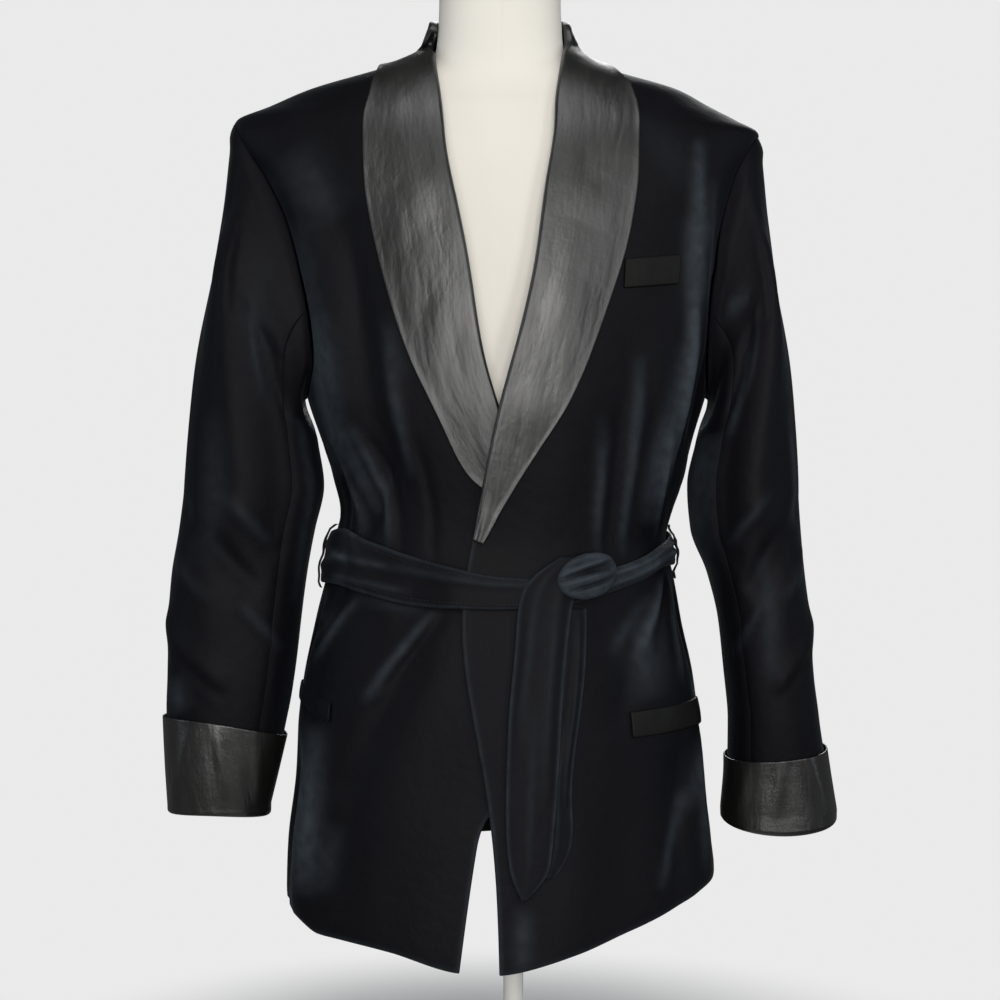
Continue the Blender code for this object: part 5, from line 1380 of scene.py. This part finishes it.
def turned(profile, x, count):
    """Rings of points round a vertical axis at x, from rows of height and radius."""
    turn = np.linspace(0.0, 2 * math.pi, count, endpoint=False)[None, :]
    z, radius = profile[:, :1], profile[:, 1:]
    rings = x + radius * np.cos(turn), radius * np.sin(turn), z
    return np.stack(np.broadcast_arrays(*rings), axis=-1)


def rounded(profile, size, steps=5):
    """A profile of heights and radii whose corners are rounded off by short curves."""
    profile = np.array(profile, float)
    found = [profile[:1]]
    for before, here, after in zip(profile[:-2], profile[1:-1], profile[2:]):
        back, on = before - here, after - here
        reach = min(size, 0.45 * np.linalg.norm(back), 0.45 * np.linalg.norm(on))
        start, end = (here + way / np.linalg.norm(way) * reach for way in (back, on))
        s = np.linspace(0.0, 1.0, steps)[:, None]
        found.append(start * (1 - s) ** 2 + 2 * here * s * (1 - s) + end * s**2)
    return np.concatenate(found + [profile[-1:]])


def make_stand(steel):
    """The stand: a round base plate and the pole with its two flanges."""
    base = [
        (0.0, BASE_RADIUS - 0.004), (0.0, BASE_RADIUS - 0.001), (0.001, BASE_RADIUS),
        (0.008, BASE_RADIUS), (BASE_HEIGHT, BASE_RADIUS - 0.006), (BASE_HEIGHT, 0.02),
    ]
    foot, head = BASE_HEIGHT + SEAM_GAP, FORM_BOTTOM_Z - SEAM_GAP
    neck = foot + COLLAR_RING_HEIGHT
    pole = [
        (foot, 0.005), (foot, COLLAR_RING_RADIUS), (foot + 0.006, COLLAR_RING_RADIUS),
        (foot + 0.010, POLE_RADIUS + 0.004), (neck, POLE_RADIUS + 0.003),
        (neck + 0.001, POLE_RADIUS), (head - 0.007, POLE_RADIUS),
        (head - 0.006, COLLAR_RING_RADIUS), (head, COLLAR_RING_RADIUS), (head, 0.005),
    ]
    rings = turned(rounded(base, 0.002), 0.0, 128)
    closed_loft("steel_base", rings, steel, "stand_base")
    rings = turned(rounded(pole, 0.0012), POLE_X, 64)
    closed_loft("steel_pole", rings, steel, "stand_pole")


def fill(tree, node, inputs):
    """Links each input given as another node's output, and sets the others."""
    for key, value in inputs.items():
        if isinstance(value, bpy.types.NodeSocket):
            tree.links.new(value, node.inputs[key])
        else:
            node.inputs[key].default_value = value


def add_node(tree, kind, inputs=None, **settings):
    """Adds a shader node with its settings and inputs."""
    made = tree.nodes.new("ShaderNode" + kind)
    for key, value in settings.items():
        setattr(made, key, value)
    fill(tree, made, inputs or {})
    return made


def new_finish(name):
    """An empty procedural material, its node tree and its shader."""
    made = bpy.data.materials.new(name)
    made.use_nodes = True
    return made, made.node_tree, made.node_tree.nodes["Principled BSDF"]


def noise(tree, place, scale, detail, **inputs):
    """Noise of a scale and detail at a place."""
    inputs.update(Vector=place, Scale=scale, Detail=detail)
    return add_node(tree, "TexNoise", inputs).outputs[0]


def wave(tree, place, scale, direction, distortion=0.0):
    """Bands that rise and fall along a direction."""
    inputs = {"Vector": place, "Scale": scale, "Distortion": distortion}
    return add_node(tree, "TexWave", inputs, bands_direction=direction).outputs[1]


def drawn_out(tree, place, scale):
    """A place drawn out by its own scale on each axis."""
    return add_node(tree, "Mapping", {"Vector": place, "Scale": scale}).outputs[0]


def remap(tree, value, low, high, start=0.0, end=1.0, **settings):
    """A value moved from the range start to end into the range low to high."""
    inputs = {"Value": value, "From Min": start, "From Max": end, "To Min": low, "To Max": high}
    return add_node(tree, "MapRange", inputs, **settings).outputs[0]


def bumps(tree, shader, *layers):
    """Bumps the shader's normal by layers of height, strength and distance, each on the last."""
    normal = {}
    for height, strength, distance in layers:
        inputs = {"Height": height, "Strength": strength, "Distance": distance, **normal}
        normal = {"Normal": add_node(tree, "Bump", inputs).outputs[0]}
    fill(tree, shader, normal)


def two_colours(tree, factor, first, second):
    """A mix of two colours by a factor. The first one may be another node's output."""
    if not isinstance(first, bpy.types.NodeSocket):
        first = (*first, 1.0)
    inputs = {0: factor, 6: first, 7: (*second, 1.0)}
    return add_node(tree, "Mix", inputs, data_type="RGBA").outputs[2]


def times(share, colour):
    """A colour made brighter or darker by a share."""
    return tuple(share * c for c in colour)


def velvet_finish(cloth_settings):
    """Dark navy velvet: a near-black ground and a short pile that lies unevenly, and a painted
    highlight, a lighter, bluer colour where the piece's painted highlight attribute asks for it."""
    made, tree, shader = new_finish("velvet")
    place = add_node(tree, "TexCoord").outputs["Object"]
    lay = noise(tree, drawn_out(tree, place, (1.0, 1.0, 0.32)), 16.0, 4.0, Roughness=0.6)
    crushed = noise(tree, place, 95.0, 3.0)
    pile = noise(tree, place, 1500.0, 2.0)
    dark = tuple(cloth_settings.velvet_colour)
    ground = two_colours(tree, remap(tree, lay, 0.0, 1.0, 0.3, 0.7), dark, times(1.9, dark))
    # Painted highlight: the attribute, broken up by noise, mixes a lighter, bluer colour over the
    # ground
    painted_highlight_amount = add_node(tree, "Attribute", attribute_name="painted_highlight").outputs["Fac"]
    broken = remap(tree, crushed, 0.65, 1.2, 0.3, 0.7)
    share = add_node(tree, "Math", {0: painted_highlight_amount, 1: broken}, operation="MULTIPLY", use_clamp=True)
    painted_highlight_tint = cloth_settings.velvet_painted_highlight_tint_colour
    fill(tree, shader, {
        "Base Color": two_colours(tree, share.outputs[0], ground, painted_highlight_tint),
        "Roughness": remap(tree, lay, 0.50, 0.66),
        "Specular IOR Level": 0.10,
        "Sheen Weight": cloth_settings.velvet_sheen,
        "Sheen Roughness": 0.38,
        "Sheen Tint": (*cloth_settings.velvet_sheen_colour, 1.0),
    })
    bumps(tree, shader, (crushed, 0.40, 0.0014), (pile, 0.30, 0.0004))
    return made


def satin_finish(cloth_settings, name="satin", gloss=0.80, rough=(0.32, 0.46)):
    """Black satin: a soft broad gloss in streaks along the cloth, over a fine weave with slubs."""
    made, tree, shader = new_finish(name)
    place = add_node(tree, "UVMap", uv_map="cloth").outputs[0]
    slub = noise(tree, drawn_out(tree, place, (60.0, 420.0, 1.0)), 1.0, 4.0)
    streak = noise(tree, drawn_out(tree, place, (70.0, 16.0, 1.0)), 1.0, 3.0)
    mottle = noise(tree, place, 130.0, 3.0)
    thread = wave(tree, place, 520.0, "Y", 0.6)
    black = tuple(cloth_settings.satin_colour)
    fill(tree, shader, {
        "Base Color": two_colours(tree, slub, black, times(1.7, black)),
        "Roughness": remap(tree, streak, *rough, 0.3, 0.7),
        "Specular IOR Level": gloss,
        "IOR": 1.5,
    })
    bumps(
        tree, shader, (streak, 0.50, 0.0022), (mottle, 0.26, 0.0008), (slub, 0.25, 0.0003),
        (thread, 0.15, 0.0001)
    )
    return made


def linen_finish(cloth_settings):
    """The form's cover: cream linen, a little darker in places, with a fine weave."""
    made, tree, shader = new_finish("linen")
    place = add_node(tree, "TexCoord").outputs["Object"]
    tone = noise(tree, place, 9.0, 3.0)
    weave = noise(tree, place, 900.0, 2.0)
    cream = tuple(cloth_settings.linen_colour)
    fill(tree, shader, {
        "Base Color": two_colours(tree, tone, cream, times(0.93, cream)),
        "Roughness": 0.85,
        "Sheen Weight": 0.15,
    })
    ribs = wave(tree, place, 330.0, "X", 0.8)
    bumps(tree, shader, (ribs, 0.12, 0.0002), (weave, 0.25, 0.0003))
    return made


def steel_finish():
    """Pale stoved lacquer on steel, with a faint orange peel and scuffs."""
    made, tree, shader = new_finish("lacquered_steel")
    place = add_node(tree, "TexCoord").outputs["Object"]
    peel = noise(tree, place, 420.0, 1.0)
    scuff = noise(tree, place, 30.0, 6.0)
    fill(tree, shader, {
        "Base Color": two_colours(tree, scuff, (0.72, 0.71, 0.68), (0.60, 0.59, 0.56)),
        "Roughness": remap(tree, scuff, 0.28, 0.48),
    })
    bumps(tree, shader, (peel, 0.06, 0.0003))
    return made


def thread_finish(cloth_settings):
    """Twisted sewing thread in the velvet's colour."""
    made, tree, shader = new_finish("thread")
    place = add_node(tree, "TexCoord").outputs["Object"]
    dark = times(2.0, cloth_settings.velvet_colour)
    twist = wave(tree, place, 700.0, "DIAGONAL")
    fill(tree, shader, {
        "Base Color": two_colours(tree, twist, dark, times(1.6, dark)), "Roughness": 0.45
    })
    return made


def finish_of(name):
    """The finish with that name, made on its first use."""
    found = bpy.data.materials.get(name)
    settings = bpy.context.scene.jacket_cloth
    makers = {
        "velvet": lambda: velvet_finish(settings), "satin": lambda: satin_finish(settings),
        "satin_welt": lambda: satin_finish(settings, "satin_welt", 0.12, (0.46, 0.70)),
        "satin_cuff": lambda: satin_finish(settings, "satin_cuff", 0.80, (0.27, 0.42)),
        "linen": lambda: linen_finish(settings), "lacquered_steel": steel_finish,
        "thread": lambda: thread_finish(settings),
    }
    made = found if found is not None and found.get("jacket_finish") else makers[name]()
    made["jacket_finish"] = True
    return made


def link(name, data):
    """A new object of a camera, a light or a mesh, in the scene."""
    made = bpy.data.objects.new(name, data)
    bpy.context.scene.collection.objects.link(made)
    return made


def add_light(name, place, target, size, power, colour):
    """A rectangular soft light at a place, turned to face a target."""
    data = bpy.data.lights.new(name, "AREA")
    data.shape, data.size, data.size_y = "RECTANGLE", size[0], size[1]
    data.energy, data.color = power, colour
    light = link(name, data)
    light.location = place
    toward = light.location.copy()
    toward.x, toward.y, toward.z = (target[k] - place[k] for k in range(3))
    light.rotation_euler = toward.to_track_quat("-Z", "Y").to_euler()


# Soft lights round the jacket: name, place, size, share of the stage's power and colour
LIGHTS = (
    ("key", (0.10, -3.0, 1.22), (1.6, 2.1), 1.0, (1.0, 0.99, 0.97)),
    ("top", (0.0, -0.9, 2.7), (1.3, 0.6), 0.17, (1.0, 1.0, 1.0)),
    ("front_right", (1.7, -2.3, 1.25), (0.6, 1.9), 0.20, (1.0, 1.0, 1.0)),
    ("low_left", (-0.8, -2.6, 0.18), (0.35, 0.3), 0.13, (1.0, 1.0, 1.0)),
    ("low_right", (1.25, -2.4, 0.18), (0.35, 0.3), 0.07, (1.0, 1.0, 1.0)),
    ("side_left", (-2.5, -0.7, 1.2), (0.7, 1.8), 0.20, (0.80, 0.90, 1.0)),
    ("side_right", (2.5, -0.5, 1.1), (0.7, 1.8), 0.17, (0.80, 0.90, 1.0)),
    ("behind", (0.4, 2.7, 2.0), (1.4, 1.4), 0.6, (1.0, 1.0, 1.0)),
)
TARGET = (0.0, 0.0, 0.55)
# Radii of the floor's rings, and the distances over which it turns into the surroundings
FLOOR_RINGS = (0.1, 0.4, 1.0, 2.0, 4.0, 9.0, 20.0)
FLOOR_FADE = (0.18, 0.48)


def make_floor(stage):
    """The pale floor, which turns into the plain surroundings away from the stand."""
    made, tree, shader = new_finish("floor_paper")
    place = add_node(tree, "TexCoord").outputs["Object"]
    length = add_node(tree, "VectorMath", {0: place}, operation="LENGTH").outputs["Value"]
    far = remap(tree, length, 0.0, 1.0, *FLOOR_FADE, interpolation_type="SMOOTHSTEP")
    grain = noise(tree, place, 300.0, 2.0)
    tone = two_colours(tree, grain, (0.80, 0.80, 0.80), (0.77, 0.77, 0.77))
    fill(tree, shader, {"Base Color": tone, "Roughness": 0.9})
    seen = add_node(tree, "LightPath").outputs["Is Camera Ray"]
    glow = add_node(tree, "Emission", {
        "Color": (*stage.surround_colour, 1.0),
        "Strength": remap(tree, seen, stage.floor_bounce, 1.0),
    })
    mixed = add_node(tree, "MixShader", {0: far, 1: shader.outputs[0], 2: glow.outputs[0]})
    fill(tree, tree.nodes["Material Output"], {"Surface": mixed.outputs[0]})

    profile = np.array([(0.0, radius) for radius in (*FLOOR_RINGS, stage.floor_radius)])
    rings = turned(profile, 0.0, 96)
    index = np.arange(rings.shape[0] * 96).reshape(-1, 96)
    faces = quads(joined(index))[:, ::-1].tolist() + [index[0].tolist()]
    mesh_object("floor", rings.reshape(-1, 3), faces, made)


def make_stage(stage):
    """The pale floor, the plain surroundings, the soft lights and the camera."""
    make_floor(stage)
    scene = bpy.context.scene
    world = bpy.data.worlds.new("surroundings")
    scene.world = world
    world.use_nodes = True
    tree = world.node_tree
    seen = add_node(tree, "LightPath").outputs["Is Camera Ray"]
    shown = two_colours(tree, seen, (stage.ambient,) * 3, stage.surround_colour)
    fill(tree, tree.nodes["Background"], {"Color": shown})

    for name, place, size, share, colour in LIGHTS:
        add_light(name, place, TARGET, size, stage.light_power * share, colour)

    data = bpy.data.cameras.new("camera")
    data.lens, data.sensor_width = stage.focal_length, 36.0
    data.dof.use_dof = False
    camera = link("camera", data)
    camera.location = (0.0, -stage.camera_distance, stage.camera_height)
    camera.rotation_euler = (math.radians(90.0 - stage.camera_tilt), 0.0, 0.0)
    scene.camera = camera
    scene.view_settings.view_transform = "Standard"


class JacketCloth(bpy.types.PropertyGroup):
    """Colours of the cloths and how deep their creases are."""

    velvet_colour: bpy.props.FloatVectorProperty(
        name="Velvet", description="Ground colour of the velvet",
        subtype="COLOR", size=3, min=0.0, max=1.0, default=(0.0018, 0.0017, 0.0027))
    # Colour of the painted highlight laid on the velvet's crease crests, edges and patches
    velvet_painted_highlight_tint_colour: bpy.props.FloatVectorProperty(
        name="Painted velvet highlight", description="Colour of the velvet's painted highlight",
        subtype="COLOR", size=3, min=0.0, max=1.0, default=(0.033, 0.041, 0.050))
    velvet_sheen_colour: bpy.props.FloatVectorProperty(
        name="Velvet sheen", description="Colour that the pile shows at a glancing angle",
        subtype="COLOR", size=3, min=0.0, max=1.0, default=(0.50, 0.60, 0.72))
    velvet_sheen: bpy.props.FloatProperty(
        name="Pile", description="Strength of the pile's sheen",
        subtype="FACTOR", min=0.0, max=1.0, default=0.042)
    satin_colour: bpy.props.FloatVectorProperty(
        name="Satin", description="Colour of the satin",
        subtype="COLOR", size=3, min=0.0, max=1.0, default=(0.0048, 0.0048, 0.0044))
    linen_colour: bpy.props.FloatVectorProperty(
        name="Linen", description="Colour of the form's cover",
        subtype="COLOR", size=3, min=0.0, max=1.0, default=(0.785, 0.753, 0.683))
    crease_strength: bpy.props.FloatProperty(
        name="Creases", description="Depth of the fine creases, against their usual depth",
        subtype="FACTOR", min=0.0, max=1.5, default=1.0)


class JacketStage(bpy.types.PropertyGroup):
    """Camera, lights and floor."""

    camera_height: bpy.props.FloatProperty(
        name="Camera height", description="Height of the camera above the floor",
        unit="LENGTH", default=0.578)
    camera_distance: bpy.props.FloatProperty(
        name="Camera distance", description="Distance of the camera in front of the pole",
        unit="LENGTH", default=2.2)
    camera_tilt: bpy.props.FloatProperty(
        name="Camera tilt", description="Degrees that the camera looks down", default=1.8750)
    focal_length: bpy.props.FloatProperty(
        name="Focal length", description="Focal length of the lens", unit="CAMERA", default=88.0)
    light_power: bpy.props.FloatProperty(
        name="Light", description="Power of the key light, which the others follow",
        unit="POWER", default=59.0)
    ambient: bpy.props.FloatProperty(
        name="Ambient", description="Brightness of the light from all round",
        min=0.0, default=0.07)
    floor_bounce: bpy.props.FloatProperty(
        name="Floor bounce", description="Share of the floor's brightness that lights the jacket",
        subtype="FACTOR", min=0.0, max=1.0, default=0.14)
    surround_colour: bpy.props.FloatVectorProperty(
        name="Surroundings", description="Colour behind the jacket",
        subtype="COLOR", size=3, min=0.0, max=1.0, default=(0.823, 0.823, 0.823))
    floor_radius: bpy.props.FloatProperty(
        name="Floor radius", description="Radius of the floor", unit="LENGTH", default=60.0)


class JACKET_OT_fronts(bpy.types.Operator):
    """Make the two velvet fronts"""
    bl_idname = "jacket.fronts"
    bl_label = "Fronts"

    def execute(self, context):
        make_fronts(finish_of("velvet"))
        return {"FINISHED"}


class JACKET_OT_backs(bpy.types.Operator):
    """Make the two velvet back halves"""
    bl_idname = "jacket.backs"
    bl_label = "Backs"

    def execute(self, context):
        make_backs(finish_of("velvet"))
        return {"FINISHED"}


class JACKET_OT_sleeves(bpy.types.Operator):
    """Make the velvet sleeves, each of a top and an under piece"""
    bl_idname = "jacket.sleeves"
    bl_label = "Sleeves"

    def execute(self, context):
        make_sleeves(finish_of("velvet"))
        return {"FINISHED"}


class JACKET_OT_cuffs(bpy.types.Operator):
    """Make the turned-back satin cuffs"""
    bl_idname = "jacket.cuffs"
    bl_label = "Cuffs"

    def execute(self, context):
        make_cuffs(finish_of("satin_cuff"))
        return {"FINISHED"}


class JACKET_OT_collar(bpy.types.Operator):
    """Make the two halves of the satin shawl collar"""
    bl_idname = "jacket.collar"
    bl_label = "Shawl collar"

    def execute(self, context):
        make_collar(finish_of("satin"))
        return {"FINISHED"}


class JACKET_OT_belt(bpy.types.Operator):
    """Make the belt with its knot, its two tails and its loops"""
    bl_idname = "jacket.belt"
    bl_label = "Belt"

    def execute(self, context):
        velvet = finish_of("velvet")
        make_belt(velvet)
        make_tails(velvet)
        make_knot(velvet)
        make_loops(velvet)
        return {"FINISHED"}


class JACKET_OT_pockets(bpy.types.Operator):
    """Make the welts of the breast pocket and the two hip pockets"""
    bl_idname = "jacket.pockets"
    bl_label = "Pocket welts"

    def execute(self, context):
        make_welts({name: finish_of(name) for name in ("velvet", "satin_welt")})
        return {"FINISHED"}


class JACKET_OT_sewing(bpy.types.Operator):
    """Sew the belt's edges, the loops and the pocket ends"""
    bl_idname = "jacket.sewing"
    bl_label = "Sewing"

    def execute(self, context):
        make_sewing(finish_of("thread"))
        return {"FINISHED"}


class JACKET_OT_form(bpy.types.Operator):
    """Make the dress form with its cover, and its stand"""
    bl_idname = "jacket.form"
    bl_label = "Dress form and stand"

    def execute(self, context):
        make_form(finish_of("linen"))
        make_stand(finish_of("lacquered_steel"))
        return {"FINISHED"}


class JACKET_OT_stage(bpy.types.Operator):
    """Set up the floor, the lights and the camera"""
    bl_idname = "jacket.stage"
    bl_label = "Stage"

    def execute(self, context):
        make_stage(context.scene.jacket_stage)
        return {"FINISHED"}


OPERATORS = (
    JACKET_OT_stage, JACKET_OT_fronts, JACKET_OT_backs, JACKET_OT_sleeves, JACKET_OT_cuffs,
    JACKET_OT_collar, JACKET_OT_belt, JACKET_OT_pockets, JACKET_OT_sewing, JACKET_OT_form,
)


class JACKET_PT_panel(bpy.types.Panel):
    """Buttons for each group of pieces, with their settings below"""
    bl_idname = "JACKET_PT_panel"
    bl_label = "Smoking jacket"
    bl_space_type = "VIEW_3D"
    bl_region_type = "UI"
    bl_category = "Jacket"

    def draw(self, context):
        for operator in OPERATORS:
            self.layout.operator(operator.bl_idname)
        for group in (context.scene.jacket_cloth, context.scene.jacket_stage):
            for name in group.__annotations__:
                self.layout.prop(group, name)


CLASSES = (JacketCloth, JacketStage, *OPERATORS, JACKET_PT_panel)


def register():
    for made in CLASSES:
        bpy.utils.register_class(made)
    bpy.types.Scene.jacket_cloth = bpy.props.PointerProperty(type=JacketCloth)
    bpy.types.Scene.jacket_stage = bpy.props.PointerProperty(type=JacketStage)


def unregister():
    del bpy.types.Scene.jacket_stage
    del bpy.types.Scene.jacket_cloth
    for made in reversed(CLASSES):
        bpy.utils.unregister_class(made)


def main():
    register()
    for operator in OPERATORS:
        group, name = operator.bl_idname.split(".")
        getattr(getattr(bpy.ops, group), name)()


if __name__ == "__main__":
    main()
